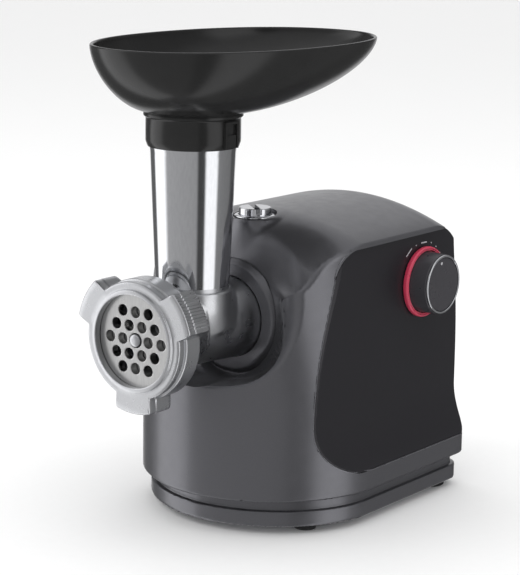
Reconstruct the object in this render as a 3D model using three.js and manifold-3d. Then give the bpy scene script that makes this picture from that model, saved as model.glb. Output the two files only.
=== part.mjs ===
// Electric meat grinder: motor housing, gear train, cast grinding head and hopper tray.
// Millimetres, +Z up, discharge end towards -Y, control knob on +X.
// Pieces are drawn about the grinding axis: x = z = 0 on the axis, y = 0 on the hole plate's
// front face. The last group moves that point so the feet stand on z = 0 and y is centred.

import * as THREE from 'three';
import * as BufferGeometryUtils from 'three/addons/utils/BufferGeometryUtils.js';
import Module from 'manifold-3d';

const wasm = await Module();
wasm.setup();

// ---------------------------------------------------------------- driving dimensions

const gap = 0.4;              // between pieces that rest on each other
const runGap = 0.5;           // round a piece that turns or slides

const axisHeight = 131;       // grinding axis above the table
const footHeight = 5;
const skirtHeight = 18;       // shell's lower edge above the base's underside
const shellWall = 2.5;

const shellHalfWidth = 84;    // at the skirt
const shellNarrowing = 12;    // of each side, from the skirt up to the roof
const shellFront = 50;
const shellRear = 248;
const noseCentre = 131;       // where the round nose meets the straight sides
const noseRoundness = 1.9;    // 2 is an ellipse
const rearCorner = 14;
const crestHeight = 64;       // roof above the grinding axis
const roofRadius = 161;
const roofFrontReach = 44;    // length and drop of the roof's front rounding
const roofFrontDrop = 30;
const roofRearReach = 32;
const roofRearDrop = 34;
const scoopFace = 93;         // flat wall behind the head
const shelfRise = 1;          // shelf's front above the socket flange's lowest point
const scoopMargin = 11.5;     // scoop's sides at the wall, beyond the socket's flange

const panelInset = 14;        // side panel's outer face from the skirt's side
const panelThickness = 2.5;
const panelWrap = 1.2;        // how far its front edge bends in with the nose
const panelDrop = 18;         // panel's upper edge below the roof's crest
const panelCorner = 18;       // round of its upper front corner
const flareRadius = 45;       // hollow curve at the panel's foot
const flareCentreZ = -62;

const baseSideInset = 4;      // base from the shell's outline at the sides, front and rear
const baseFrontInset = 8;
const baseRearInset = 1;
const baseCorner = 16;
const baseStep = 3;           // upper tier set in from the lower one
const baseTierHeight = 10;
const baseWall = 3;

const plateRadius = 31;
const plateThickness = 5;
const plateHoleRadius = 3.5;
const plateHolePitch = 10;
const plateSlotHalf = 2;
const ringWall = 2.8;         // round the head's mouth
const ringLugReach = 8.4;     // of the three grips beyond the ring
const ringDepth = 17;
const ringLip = 3;            // in front of the plate
const ringOverlap = 2.5;      // of the lip over the plate's edge

const barrelRadius = 24;
const barrelWall = 3;
const cupWall = 3;            // threaded mouth of the head, round the plate
const cupDepth = 17;
const headLength = 109;
const tubeY = 52.8;
const tubeTop = 128;
const tubeTopRadius = 26.5;
const tubeFootRadius = 22.8;
const tubeWall = 3;

const socketStep = 2.5;       // socket's bore outside the barrel
const socketWall = 7.5;
const socketFlange = 3.5;
const socketProud = 4;        // ring's face in front of the scoop wall
const socketLength = 21;

const augerPlay = 1.4;        // between the screw and the barrel's bore
const augerCore = 9.5;
const augerPitch = 24;
const drivePinRadius = 4;
const shaftRadius = 8;
const couplingRadius = 13;
const hexRadius = 7.6;
const squareRadius = 5.6;     // of the knife's seat, across its corners
const journalRadius = 10.6;
const bulkheadSetIn = 15;     // head's inner wall from the head's rear end
const bulkheadThickness = 4;

const trayY = 95.1;
const trayHalfLength = 107.7;
const trayHalfWidth = 69.9;
const trayRise = 45.4;        // rim above the feed tube's top
const trayDepth = 40;
const trayWall = 2.2;
const collarWall = 2.5;       // collar round the feed tube
const collarDepth = 16;

const knobY = 204;
const knobZ = 14;
const knobRadius = 20;
const knobHeight = 15;
const knobRingMargin = 3.25;  // of the red ring beyond the knob
const knobStemRadius = 3.1;

const buttonY = 115;
const buttonRadius = 10.3;
const buttonFlange = 3;
const buttonProud = 2.5;      // above the roof's crest
const buttonSeatDrop = 6.2;   // bezel's seat below the button's top
const buttonWellDepth = 18;
const buttonCapHeight = 10.5;
const buttonStemRadius = 3.5;
const buttonStemLength = 12;  // below the well's floor

const motorDrop = 60;         // motor axis below the grinding axis
const outputTeeth = 50;
const smallTeeth = 12;
const outputModule = 1.5;
const largeTeeth = 44;
const pinionTeeth = 10;
const inputModule = 1.25;
const pressureAngle = THREE.MathUtils.degToRad(25);
const toothPlay = 0.35;
const statorRadius = 31;
const armatureRadius = 20;
const motorShaftRadius = 4;
const idlerAxleRadius = 4;
const screwRadius = 1.6;
const screwHeadRadius = 3.5;

// ---------------------------------------------------------------- sizes worked out from them

const baseBottom = footHeight - axisHeight;
const shellBottom = baseBottom + skirtHeight;
const shellTopHalfWidth = shellHalfWidth - shellNarrowing;
const panelFace = shellHalfWidth - panelInset;
const panelTop = crestHeight - panelDrop;
const roofFrontStart = scoopFace - 2;
const baseHalfWidth = shellHalfWidth - baseSideInset;
const baseFront = shellFront + baseFrontInset;
const baseRear = shellRear - baseRearInset;
const cupRadius = plateRadius + cupWall;
const ringRadius = cupRadius + ringWall;
const ringLugRadius = ringRadius + ringLugReach;
const ringOpening = plateRadius - ringOverlap;
const barrelBore = barrelRadius - barrelWall;
const augerRadius = barrelBore - augerPlay;
const bulkheadFront = headLength - bulkheadSetIn;
const bulkheadRear = bulkheadFront + bulkheadThickness;
const socketFace = scoopFace - socketProud;
const socketBore = barrelRadius + socketStep;
const socketFaceRadius = socketBore + socketWall;
const socketFlangeRadius = socketFaceRadius + socketFlange;
const shelfDepth = socketFlangeRadius - shelfRise;
const collarRadius = tubeTopRadius + collarWall;
const collarBottom = tubeTop - collarDepth;
const trayRim = tubeTop + trayRise;
const knobRingRadius = knobRadius + knobRingMargin;
const buttonFlangeRadius = buttonRadius + buttonFlange;
const buttonTop = crestHeight + buttonProud;
const seatTop = buttonTop - buttonSeatDrop;
const wellFloor = buttonTop - buttonWellDepth;
const wideOfShell = shellHalfWidth + 12;
const casingInset = panelThickness + gap + shellWall;
const outputCentres = outputModule * (outputTeeth + smallTeeth) / 2;
const inputCentres = inputModule * (largeTeeth + pinionTeeth) / 2;
const idlerDrop = (outputCentres ** 2 - inputCentres ** 2 + motorDrop ** 2) / (2 * motorDrop);
const idlerX = Math.sqrt(outputCentres ** 2 - idlerDrop ** 2);
const idlerZ = -idlerDrop;
const motorZ = -motorDrop;

// ---------------------------------------------------------------- solids and meshes

function solidOf(geometry) {
  geometry.deleteAttribute('normal');
  geometry.deleteAttribute('uv');
  const merged = BufferGeometryUtils.mergeVertices(geometry, 1e-4);
  const position = merged.attributes.position;
  const corner = (i) => new THREE.Vector3().fromBufferAttribute(position, i);
  const faces = [];
  let volume = 0;
  for (let i = 0; i < merged.index.count; i += 3) {
    const [a, b, c] = [0, 1, 2].map((k) => merged.index.getX(i + k));
    if (a === b || b === c || c === a) continue;
    faces.push([a, b, c]);
    volume += corner(a).dot(corner(b).cross(corner(c)));
  }
  if (volume < 0) faces.forEach((face) => face.reverse());
  return new wasm.Manifold(new wasm.Mesh({
    numProp: 3,
    vertProperties: new Float32Array(position.array),
    triVerts: new Uint32Array(faces.flat()),
  }));
}

function geometryOf(solid) {
  const mesh = solid.getMesh();
  const geometry = new THREE.BufferGeometry();
  geometry.setAttribute('position', new THREE.BufferAttribute(mesh.vertProperties, 3));
  geometry.setIndex(new THREE.BufferAttribute(mesh.triVerts, 1));
  geometry.computeVertexNormals();
  return geometry;
}

const joined = (first, ...rest) => rest.reduce((sum, piece) => sum.add(piece), first);
const cut = (first, ...rest) => rest.reduce((left, piece) => left.subtract(piece), first);

// Places a shape drawn with its long direction on +Y: u and v are the other two row axes.
function along(axis, geometry, u = 0, v = 0) {
  if (axis === 'x') return solidOf(geometry.rotateZ(-Math.PI / 2).translate(0, u, v));
  if (axis === 'z') return solidOf(geometry.rotateX(Math.PI / 2).translate(u, v, 0));
  return solidOf(geometry.translate(u, 0, v));
}

function rod(axis, radius, from, to, u = 0, v = 0, sides = 24) {
  const geometry = new THREE.CylinderGeometry(radius, radius, to - from, sides);
  return along(axis, geometry.translate(0, (from + to) / 2, 0), u, v);
}

// A closed profile of [radius, station] pairs turned about an axis.
function turned(axis, profile, u = 0, v = 0, sides = 28) {
  const points = profile.map(([r, t]) => new THREE.Vector2(r, t));
  if (profile[0][0] > 0) points.push(points[0].clone());
  return along(axis, new THREE.LatheGeometry(points, sides), u, v);
}

function block(x0, x1, y0, y1, z0, z1) {
  const geometry = new THREE.BoxGeometry(x1 - x0, y1 - y0, z1 - z0);
  return solidOf(geometry.translate((x0 + x1) / 2, (y0 + y1) / 2, (z0 + z1) / 2));
}

// An outline of [u, v] points pushed along an axis. z: u, v are x, y. y: x, z. x: y, z.
function prism(axis, outline, from, to) {
  const shape = new THREE.Shape(outline.map(([u, v]) => new THREE.Vector2(u, v)));
  const geometry = new THREE.ExtrudeGeometry(shape, { depth: to - from, bevelEnabled: false });
  geometry.translate(0, 0, from);
  const turn = new THREE.Matrix4();
  if (axis === 'y') turn.set(1, 0, 0, 0, 0, 0, 1, 0, 0, 1, 0, 0, 0, 0, 0, 1);
  if (axis === 'x') turn.set(0, 0, 1, 0, 1, 0, 0, 0, 0, 1, 0, 0, 0, 0, 0, 1);
  return solidOf(geometry.applyMatrix4(turn));
}

// Rings of [x, y, z] points with equal counts, skinned in order. A loop joins last to first.
function lofted(rings, loop = false) {
  const count = rings[0].length;
  const points = rings.flat();
  const faces = [];
  const spans = loop ? rings.length : rings.length - 1;
  for (let i = 0; i < spans; i += 1) {
    const low = i * count;
    const high = ((i + 1) % rings.length) * count;
    for (let k = 0; k < count; k += 1) {
      const next = (k + 1) % count;
      faces.push(low + k, low + next, high + next, low + k, high + next, high + k);
    }
  }
  if (!loop) {
    [0, rings.length - 1].forEach((i) => {
      const ring = rings[i];
      const centre = [0, 1, 2].map((j) => ring.reduce((sum, p) => sum + p[j], 0) / count);
      const middle = points.push(centre) - 1;
      for (let k = 0; k < count; k += 1) {
        const here = i * count + k;
        const next = i * count + ((k + 1) % count);
        faces.push(...(i === 0 ? [middle, next, here] : [middle, here, next]));
      }
    });
  }
  const geometry = new THREE.BufferGeometry();
  geometry.setAttribute('position', new THREE.Float32BufferAttribute(points.flat(), 3));
  geometry.setIndex(faces);
  return solidOf(geometry);
}

const mix = THREE.MathUtils.lerp;
const smooth = (t) => THREE.MathUtils.smoothstep(t, 0, 1);
const power = (value, n) => Math.sign(value) * Math.abs(value) ** (2 / n);
const steps = (count) => Array.from({ length: count }, (_, i) => i);

const finishes = {
  graphite: { color: 0x4b4b4e, roughness: 0.35, metalness: 0.4 },
  darkPanel: { color: 0x2b2a2e, roughness: 0.3, metalness: 0.1 },
  blackPlastic: { color: 0x232325, roughness: 0.25, metalness: 0 },
  mattPlastic: { color: 0x303033, roughness: 0.6, metalness: 0 },
  redPlastic: { color: 0xb93a4e, roughness: 0.4, metalness: 0 },
  polished: { color: 0xc9cacc, roughness: 0.18, metalness: 1 },
  cast: { color: 0xa9aaad, roughness: 0.5, metalness: 0.9 },
  steel: { color: 0xb5b7ba, roughness: 0.3, metalness: 1 },
  chrome: { color: 0xd8d9dc, roughness: 0.08, metalness: 1 },
  zinc: { color: 0x9c9ea2, roughness: 0.4, metalness: 1 },
  rubber: { color: 0x1b1b1c, roughness: 0.9, metalness: 0 },
  nylon: { color: 0xe6e2d6, roughness: 0.5, metalness: 0 },
  copper: { color: 0xb0673a, roughness: 0.4, metalness: 0.8 },
  brass: { color: 0xb9964a, roughness: 0.35, metalness: 1 },
  carbon: { color: 0x2a2a2b, roughness: 0.8, metalness: 0.1 },
  board: { color: 0x2f6b45, roughness: 0.6, metalness: 0 },
};

const grinder = new THREE.Group();

function part(name, solid, finish) {
  const mesh = new THREE.Mesh(geometryOf(solid), new THREE.MeshStandardMaterial(finishes[finish]));
  mesh.name = name;
  grinder.add(mesh);
}

// ---------------------------------------------------------------- housing outline

// Plan outline with a round nose in front, straight sides and rounded rear corners.
function planOutline(halfWidth, front, rear, centre, corner) {
  const nose = steps(17).map((i) => {
    const angle = Math.PI * i / 16;
    return [halfWidth * power(Math.cos(angle), noseRoundness),
      centre - (centre - front) * power(Math.sin(angle), noseRoundness)];
  });
  const rearLeft = steps(4).map((i) => {
    const angle = Math.PI * (1 - i / 6);
    return [corner - halfWidth + corner * Math.cos(angle), rear - corner + corner * Math.sin(angle)];
  });
  const rearRight = rearLeft.map(([x, y]) => [-x, y]).reverse();
  return [...nose, ...rearLeft, ...rearRight];
}

const shellHalfAt = (z) => mix(shellHalfWidth, shellTopHalfWidth, smooth((z + 60) / 105));

// Outer face of the side panel at a height: flat, then hollowed outwards at its foot.
function panelFaceAt(z, inset = 0) {
  if (z > flareCentreZ) return panelFace - inset;
  const radius = flareRadius + inset;
  const rise = Math.min(radius, flareCentreZ - z);
  return panelFace + flareRadius - Math.sqrt(radius ** 2 - rise ** 2);
}

// Height at which the hollow curve reaches the skirt.
const flareFoot = flareCentreZ
  - Math.sqrt(flareRadius ** 2 - (panelFace + flareRadius - shellHalfWidth) ** 2);

function shellColumn() {
  const foot = shellBottom + 5;
  const wall = steps(7).map((i) => [mix(foot, crestHeight + 8, i / 6), 0]);
  const levels = [[shellBottom, 1.6], [shellBottom + 2.2, 0.4], ...wall];
  return lofted(levels.map(([z, inset]) => {
    const half = shellHalfAt(z) - inset;
    const outline = planOutline(half, shellFront + inset, shellRear - inset, noseCentre, rearCorner);
    return outline.map(([x, y]) => [x, y, z]);
  }));
}

function shellCavity() {
  const flareSteps = [0, 0.3, 0.65, 1];
  const top = panelFaceAt(0, casingInset);
  const flare = flareSteps.map((t) => mix(flareFoot - 3, flareCentreZ, t));
  const levels = [shellBottom - 10, ...flare, crestHeight + 26];
  return lofted(levels.map((z) => {
    const half = Math.min(shellHalfAt(z) - shellWall, panelFaceAt(z, casingInset));
    const width = z > flareCentreZ ? top : half;
    const outline = planOutline(width, shellFront + shellWall, shellRear - shellWall, noseCentre,
      rearCorner - shellWall);
    return outline.map(([x, y]) => [x, y, z]);
  }));
}

// Height of the roof's crest line along the machine.
function crestAt(y, inset = 0) {
  const frontReach = roofFrontReach - inset;
  const rearReach = roofRearReach - inset;
  const frontStart = roofFrontStart + roofFrontReach;
  const rearStart = shellRear + 2 - roofRearReach;
  const back = THREE.MathUtils.clamp((frontStart - y) / frontReach, 0, 1);
  const ahead = THREE.MathUtils.clamp((y - rearStart) / rearReach, 0, 1);
  const frontFall = (roofFrontDrop - inset) * (1 - Math.sqrt(1 - back ** 2));
  const rearFall = (roofRearDrop - inset) * (1 - Math.sqrt(1 - ahead ** 2));
  return crestHeight - inset - frontFall - rearFall;
}

// Everything under the arched roof.
function underRoof(inset = 0) {
  const frontShares = [0, 0.02, 0.09, 0.2, 0.36, 0.55, 0.75, 1];
  const rearShares = [0, 0.25, 0.5, 0.69, 0.83, 0.997];
  const front = roofFrontStart + inset;
  const rear = shellRear + 2 - inset;
  const stations = [shellFront - 20,
    ...frontShares.map((t) => front + (roofFrontReach - inset) * t),
    ...rearShares.map((t) => rear - (roofRearReach - inset) * (1 - t)),
    shellRear + 14];
  return lofted(stations.map((y) => {
    const crest = crestAt(y, inset);
    const arch = steps(11).map((i) => {
      const x = mix(-wideOfShell, wideOfShell, i / 10);
      return [x, y, crest - x ** 2 / (2 * roofRadius)];
    });
    const below = baseBottom - 20;
    return [...arch, [wideOfShell, y, below], [-wideOfShell, y, below]];
  }));
}

// The hollow in front of the scoop wall, open upwards.
function scoopRoom(grow = 0) {
  const section = (y, half, depth, roundness) => {
    const lower = steps(15).map((i) => {
      const angle = Math.PI * i / 14;
      return [(half + grow) * power(Math.cos(angle), roundness), y,
        10 - (depth + 10 + grow) * power(Math.sin(angle), roundness)];
    });
    return [...lower, [-half - grow, y, 110], [half + grow, y, 110]];
  };
  return lofted([
    section(20, shellHalfWidth + 10, shelfDepth - 3, 3.2),
    section(scoopFace + grow, socketFlangeRadius + scoopMargin, shelfDepth + 2, 2.4),
  ]);
}

const outerColumn = shellColumn();
const roofed = outerColumn.intersect(underRoof());

// Layer between two depths under the side panel's outer face, on the +X side.
function panelLayer(inner, outer, trim) {
  const flare = steps(6).map((i) => mix(flareFoot, flareCentreZ, i / 5));
  const corner = [0, 0.5, 0.85, 1].map((t) => panelTop - panelCorner * (1 - t));
  const heights = [...flare, (flareCentreZ + corner[0]) / 2, ...corner];
  const faceAt = (z) => (outer === null ? wideOfShell + 24 : panelFaceAt(z, outer));
  const inside = heights.map((z) => [panelFaceAt(z, inner), z]);
  const outside = heights.map((z) => [faceAt(z), z]).reverse();
  const slab = prism('y', [...inside, ...outside], shellFront, shellRear + 20);
  const frontLine = heights.map((z) => {
    const share = Math.min(1, (panelFaceAt(z) - panelWrap) / shellHalfAt(z));
    const ahead = (1 - share ** noseRoundness) ** (1 / noseRoundness);
    const y = noseCentre - (noseCentre - shellFront) * ahead;
    const intoCorner = Math.max(0, 1 - (panelTop - z) / panelCorner);
    const round = panelCorner * (1 - Math.sqrt(1 - intoCorner ** 2));
    return [y + round + trim + 0.6, intoCorner > 0 ? z - trim : z + trim];
  });
  const side = [...frontLine, [shellRear + 20, panelTop - trim], [shellRear + 20, flareFoot + trim]];
  return slab.intersect(prism('x', side, 0, wideOfShell + 30));
}

const ventHalf = 42;
const ventBottom = -90;
const ventTop = 26;
const glandX = -57;
const glandZ = -80;
const glandRadius = 7;

const mirrored = (solid) => solid.mirror([1, 0, 0]);
const bossX = shellHalfWidth - 28;
const bossPlaces = [112, shellRear - 36].flatMap((y) => [[bossX, y], [-bossX, y]]);
const bossBottom = shellBottom + 5;

function mainShell() {
  const recess = panelLayer(panelThickness + gap, null, 0);
  const cavity = cut(shellCavity().intersect(underRoof(shellWall)), scoopRoom(shellWall));
  let shell = cut(roofed, scoopRoom(), recess, mirrored(recess), cavity);
  shell = joined(shell,
    rod('z', buttonFlangeRadius + 1.7, wellFloor - 2, seatTop, 0, buttonY, 28));
  shell = cut(shell,
    rod('z', buttonFlangeRadius + 0.9, seatTop, seatTop + 20, 0, buttonY, 28),
    rod('z', buttonRadius + runGap, wellFloor, seatTop + 1, 0, buttonY, 28),
    rod('z', buttonStemRadius + runGap, wellFloor - 10, wellFloor + 1, 0, buttonY, 16));
  bossPlaces.forEach(([x, y]) => {
    const outward = Math.sign(x) * (shellHalfWidth - shellWall / 2);
    const web = block(Math.min(x, outward), Math.max(x, outward), y - 1.5, y + 1.5,
      bossBottom, bossBottom + 13);
    const rib = cut(web.intersect(roofed), recess, mirrored(recess));
    shell = joined(shell, rod('z', 5, bossBottom, bossBottom + 15, x, y, 12), rib);
  });
  bossPlaces.forEach(([x, y]) => {
    shell = cut(shell, rod('z', screwRadius + gap, bossBottom - 1, bossBottom + 12, x, y, 12));
  });
  return cut(shell,
    rod('y', socketFaceRadius - 1 + gap, 80, 105, 0, 0, 40),
    rod('x', knobStemRadius + 0.9, panelFace - 10, panelFace + 10, knobY, knobZ, 14),
    block(-ventHalf, ventHalf, shellRear - 6, shellRear + 6, ventBottom, ventTop),
    rod('y', glandRadius + gap, shellRear - 8, shellRear + 4, glandX, glandZ, 24));
}

part('main_shell', mainShell(), 'graphite');

function sidePanel(withKnob) {
  const panel = panelLayer(panelThickness, 0, gap).intersect(outerColumn).intersect(underRoof(gap));
  if (!withKnob) return mirrored(panel);
  return cut(panel,
    rod('x', knobStemRadius + 0.9, panelFace - 10, panelFace + 10, knobY, knobZ, 14));
}

part('side_panel_right', sidePanel(true), 'darkPanel');
part('side_panel_left', sidePanel(false), 'darkPanel');

function rearCover() {
  const edge = ventHalf - gap;
  let cover = block(-edge, edge, shellRear - 3.5, shellRear - 0.5, ventBottom + gap, ventTop - gap);
  steps(8).forEach((i) => {
    const z = ventBottom + 14 + i * 12;
    cover = cut(cover, block(10 - ventHalf, ventHalf - 10, shellRear - 8, shellRear + 4, z, z + 5));
  });
  return cover;
}

part('rear_cover', rearCover(), 'mattPlastic');
part('cord_gland', turned('y', [[4, shellRear - 6], [glandRadius, shellRear - 6],
  [glandRadius, shellRear + gap], [glandRadius + 2, shellRear + gap],
  [glandRadius + 1.4, shellRear + 2], [4, shellRear + 2]], glandX, glandZ, 24), 'rubber');

// ---------------------------------------------------------------- base, feet and screws

const footNeckRadius = 3.5;
const frontFoot = { top: 6.5, tread: 7 };
const rearFoot = { top: 7.5, tread: 10.5 };
const footPlaces = [['right', 1], ['left', -1]].flatMap(([side, sign]) => [
  { name: `front_foot_${side}`, x: sign * (baseHalfWidth - 25), y: baseFront + 42, ...frontFoot },
  { name: `rear_foot_${side}`, x: sign * (baseHalfWidth - 16), y: baseRear - 18, ...rearFoot },
]);

function baseTub() {
  const tier = (inset, from, to) => prism('z', planOutline(baseHalfWidth - inset,
    baseFront + inset, baseRear - inset, noseCentre, baseCorner - inset / 2), from, to);
  const step = baseBottom + baseTierHeight;
  let tub = joined(tier(0, baseBottom, step), tier(baseStep, step - 1, shellBottom + 4));
  tub = cut(tub, tier(baseStep + baseWall, baseBottom + baseWall, shellBottom + 10));
  bossPlaces.forEach(([x, y]) => {
    tub = joined(tub, rod('z', 6, baseBottom, bossBottom - gap, x, y, 12));
  });
  bossPlaces.forEach(([x, y]) => {
    tub = cut(tub, rod('z', screwRadius + runGap, baseBottom - 1, bossBottom + 1, x, y, 12),
      rod('z', screwHeadRadius + runGap, baseBottom - 1, baseBottom + 12, x, y, 12));
  });
  footPlaces.forEach(({ x, y }) => {
    tub = cut(tub, rod('z', footNeckRadius + gap, baseBottom - 1, baseBottom + 6, x, y, 12));
  });
  return tub;
}

part('base_plate', baseTub(), 'graphite');

footPlaces.forEach(({ name, x, y, top, tread }) => {
  const floor = baseBottom - footHeight;
  const inner = baseBottom + baseWall;
  part(name, turned('z', [[0, floor], [tread, floor], [tread, floor + 1.2], [top, floor + 3.2],
    [top, baseBottom - gap], [footNeckRadius, baseBottom - gap], [footNeckRadius, inner + gap],
    [5, inner + gap], [3.4, inner + 3], [0, inner + 3]], x, y, 14), 'rubber');
});

// A pan-headed screw: head at the start, shank running to the end.
function screw(axis, start, end, u, v) {
  const way = Math.sign(end - start);
  const neck = start + 2.4 * way;
  return turned(axis, [[0, start], [screwHeadRadius - 0.7, start], [screwHeadRadius, start + way],
    [screwHeadRadius, neck], [screwRadius, neck], [screwRadius, end - way], [0, end]], u, v, 8);
}

bossPlaces.forEach(([x, y], i) => {
  part(`base_screw_${i + 1}`, screw('z', baseBottom + 9, bossBottom + 10, x, y), 'zinc');
});

// ---------------------------------------------------------------- head socket

const lugAngles = [0, Math.PI];
const socketGroove = { from: socketFace + 8, to: socketFace + 15, radius: socketBore + 3.7 };

function sector(radius, from, to, middle, width) {
  const arc = steps(7).map((i) => middle + width * (i / 6 - 0.5));
  const rim = arc.map((a) => [radius * Math.cos(a), radius * Math.sin(a)]);
  return prism('y', [[0, 0], ...rim], from, to);
}

function headSocket() {
  const rear = socketFace + socketLength;
  const neck = socketFaceRadius - 1;
  let socket = turned('y', [[socketBore, socketFace], [socketFaceRadius, socketFace],
    [socketFlangeRadius, scoopFace - gap], [neck, scoopFace - gap], [neck, rear], [socketBore, rear]],
  0, 0, 36);
  socket = cut(socket, rod('y', socketGroove.radius, socketGroove.from, socketGroove.to, 0, 0, 32));
  lugAngles.forEach((angle) => {
    const entry = angle - THREE.MathUtils.degToRad(45);
    socket = cut(socket,
      sector(socketGroove.radius, socketFace - 1, socketGroove.from + 1, entry, 0.62));
  });
  return socket;
}

part('head_socket', headSocket(), 'mattPlastic');

// ---------------------------------------------------------------- release button

part('button_bezel', turned('z', [[buttonRadius + runGap, seatTop + gap],
  [buttonFlangeRadius, seatTop + gap], [buttonFlangeRadius, seatTop + 1.1],
  [buttonFlangeRadius - 1.2, seatTop + 1.7], [buttonRadius + runGap, seatTop + 1.7]],
0, buttonY, 28), 'chrome');

function releaseButton() {
  const capBottom = buttonTop - buttonCapHeight;
  const bevel = 0.8;
  const slotHalf = 1.9;
  const slotDepth = 3.6;
  const cap = turned('z', [[0, capBottom], [buttonRadius, capBottom],
    [buttonRadius, buttonTop - bevel], [buttonRadius - bevel, buttonTop], [0, buttonTop]],
  0, buttonY, 28);
  const slot = block(-buttonRadius - 2, buttonRadius + 2, -slotHalf, slotHalf,
    buttonTop - slotDepth, buttonTop + 1);
  const stem = rod('z', buttonStemRadius, wellFloor - buttonStemLength, capBottom + 1, 0, buttonY, 14);
  const turnedSlot = slot.rotate([0, 0, -40]).translate([0, buttonY, 0]);
  return joined(cut(cap, turnedSlot), stem);
}

part('release_button', releaseButton(), 'chrome');

function buttonSpring() {
  const wire = 0.7;
  const coils = 3;
  const low = wellFloor + wire + gap;
  const high = buttonTop - buttonCapHeight - wire - gap;
  const coilRadius = buttonStemRadius + 2.7;
  class Helix extends THREE.Curve {
    getPoint(t, target = new THREE.Vector3()) {
      const angle = coils * 2 * Math.PI * t;
      return target.set(coilRadius * Math.cos(angle), buttonY + coilRadius * Math.sin(angle),
        mix(low, high, t));
    }
  }
  const shape = new THREE.Shape(steps(5).map((i) => {
    const angle = 2 * Math.PI * i / 5;
    return new THREE.Vector2(wire * Math.cos(angle), wire * Math.sin(angle));
  }));
  return solidOf(new THREE.ExtrudeGeometry(shape, { steps: 36, extrudePath: new Helix() }));
}

part('button_spring', buttonSpring(), 'steel');

// ---------------------------------------------------------------- control knob

const knobBase = panelFace + gap + 1.6;

part('knob_ring', turned('x', [[4, panelFace + gap], [knobRingRadius - 0.6, panelFace + gap],
  [knobRingRadius, panelFace + gap + 0.6], [knobRingRadius, panelFace + 3.1],
  [knobRingRadius - 0.7, panelFace + 3.8], [knobRadius + 0.8, panelFace + 3.8],
  [knobRadius + 0.8, knobBase - runGap], [4, knobBase - runGap]], knobY, knobZ, 28), 'redPlastic');

const knobFace = knobBase + knobHeight;
const knobHollow = knobRadius - 2.5;
const trimSeat = knobFace - 1.4;
const trimInner = knobRadius - 2.6;

function knob() {
  return turned('x', [[0, panelFace - 15], [knobStemRadius, panelFace - 15],
    [knobStemRadius, knobBase + 6], [knobHollow, knobBase + 6], [knobHollow, knobBase],
    [knobRadius, knobBase], [knobRadius, knobBase + 1.5], [knobRadius - 0.5, knobFace - 2],
    [knobRadius - 1, knobFace - 2], [knobRadius - 1, trimSeat], [trimInner, trimSeat],
    [trimInner, knobFace - 0.5], [0, knobFace - 0.5]], knobY, knobZ, 28);
}

part('knob', knob(), 'mattPlastic');
part('knob_trim', turned('x', [[trimInner + gap, trimSeat + gap],
  [knobRadius - 0.7, trimSeat + gap], [knobRadius - 1, knobFace], [trimInner + gap, knobFace]],
knobY, knobZ, 28), 'chrome');

const switchFace = panelFace - casingInset - gap;
part('rotary_switch', cut(
  joined(block(switchFace - 18, switchFace, knobY - 11, knobY + 11, knobZ - 11, knobZ + 11),
    block(switchFace - 22, switchFace - 17, knobY - 7, knobY + 7, knobZ - 7, knobZ + 7)),
  rod('x', knobStemRadius + runGap, switchFace - 12, switchFace + 1, knobY, knobZ, 14)),
'mattPlastic');

// ---------------------------------------------------------------- grinding head

function headCasting() {
  const rim = 0.8;
  const bossTop = 26;
  const spigot = socketBore - runGap;
  const neck = cupDepth + 22;
  let casting = turned('y', [[0, rim], [cupRadius, rim], [cupRadius, cupDepth + gap],
    [cupRadius - 1, cupDepth + 2.5], [mix(barrelRadius, cupRadius, 0.35), cupDepth + 8],
    [barrelRadius + 0.6, cupDepth + 14], [barrelRadius, neck], [barrelRadius + 0.4, neck + 23],
    [spigot, socketFace - 5], [spigot, headLength], [0, headLength]], 0, 0, 30);
  lugAngles.forEach((angle) => {
    casting = joined(casting, sector(socketGroove.radius - runGap, socketGroove.from + runGap,
      socketGroove.to - runGap, angle, 0.5));
  });
  const tube = turned('z', [[0, 0], [tubeFootRadius + 2.4, 0], [tubeFootRadius + 2.4, bossTop - 2],
    [tubeFootRadius + 0.8, bossTop], [tubeFootRadius, bossTop + 3.5],
    [mix(tubeFootRadius, tubeTopRadius, 0.9), collarBottom - 7], [tubeTopRadius, collarBottom],
    [tubeTopRadius, tubeTop], [0, tubeTop]], 0, tubeY, 30);
  const boreFoot = tubeFootRadius - tubeWall;
  const boreTop = tubeTopRadius - tubeWall;
  const bore = turned('z', [[0, -1], [boreFoot, -1], [boreFoot, bossTop],
    [boreTop, collarBottom], [boreTop, tubeTop + 1], [0, tubeTop + 1]], 0, tubeY, 26);
  const plateSeat = plateRadius + gap;
  const barrel = turned('y', [[0, 0], [plateSeat, 0], [plateSeat, 11], [barrelBore, 14.5],
    [barrelBore, bulkheadFront], [0, bulkheadFront]], 0, 0, 28);
  const rearRoom = rod('y', barrelBore, bulkheadRear, headLength + 1, 0, 0, 28);
  const journalHole = rod('y', journalRadius + runGap, bulkheadFront - 4, bulkheadRear + 2, 0, 0, 20);
  return cut(joined(casting, tube), bore, barrel, rearRoom, journalHole);
}

part('head_casting', headCasting(), 'polished');

// Holes on a triangular grid, in rows of 3, 4, 5, 4 and 3, and a slot for the locating pin.
function holePlate() {
  let plate = rod('y', plateRadius, 0, plateThickness, 0, 0, 40);
  for (let row = -2; row <= 2; row += 1) {
    const count = 5 - Math.abs(row);
    for (let i = 0; i < count; i += 1) {
      const x = plateHolePitch * (i - (count - 1) / 2);
      const z = plateHolePitch * row * Math.sqrt(3) / 2;
      const radius = x === 0 && row === 0 ? drivePinRadius + runGap : plateHoleRadius;
      plate = cut(plate, rod('y', radius, -1, plateThickness + 1, x, z, 10));
    }
  }
  return cut(plate, block(-plateSlotHalf, plateSlotHalf, -1, plateThickness + 1,
    plateRadius - 2, plateRadius + 2));
}

part('hole_plate', holePlate(), 'steel');

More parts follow.
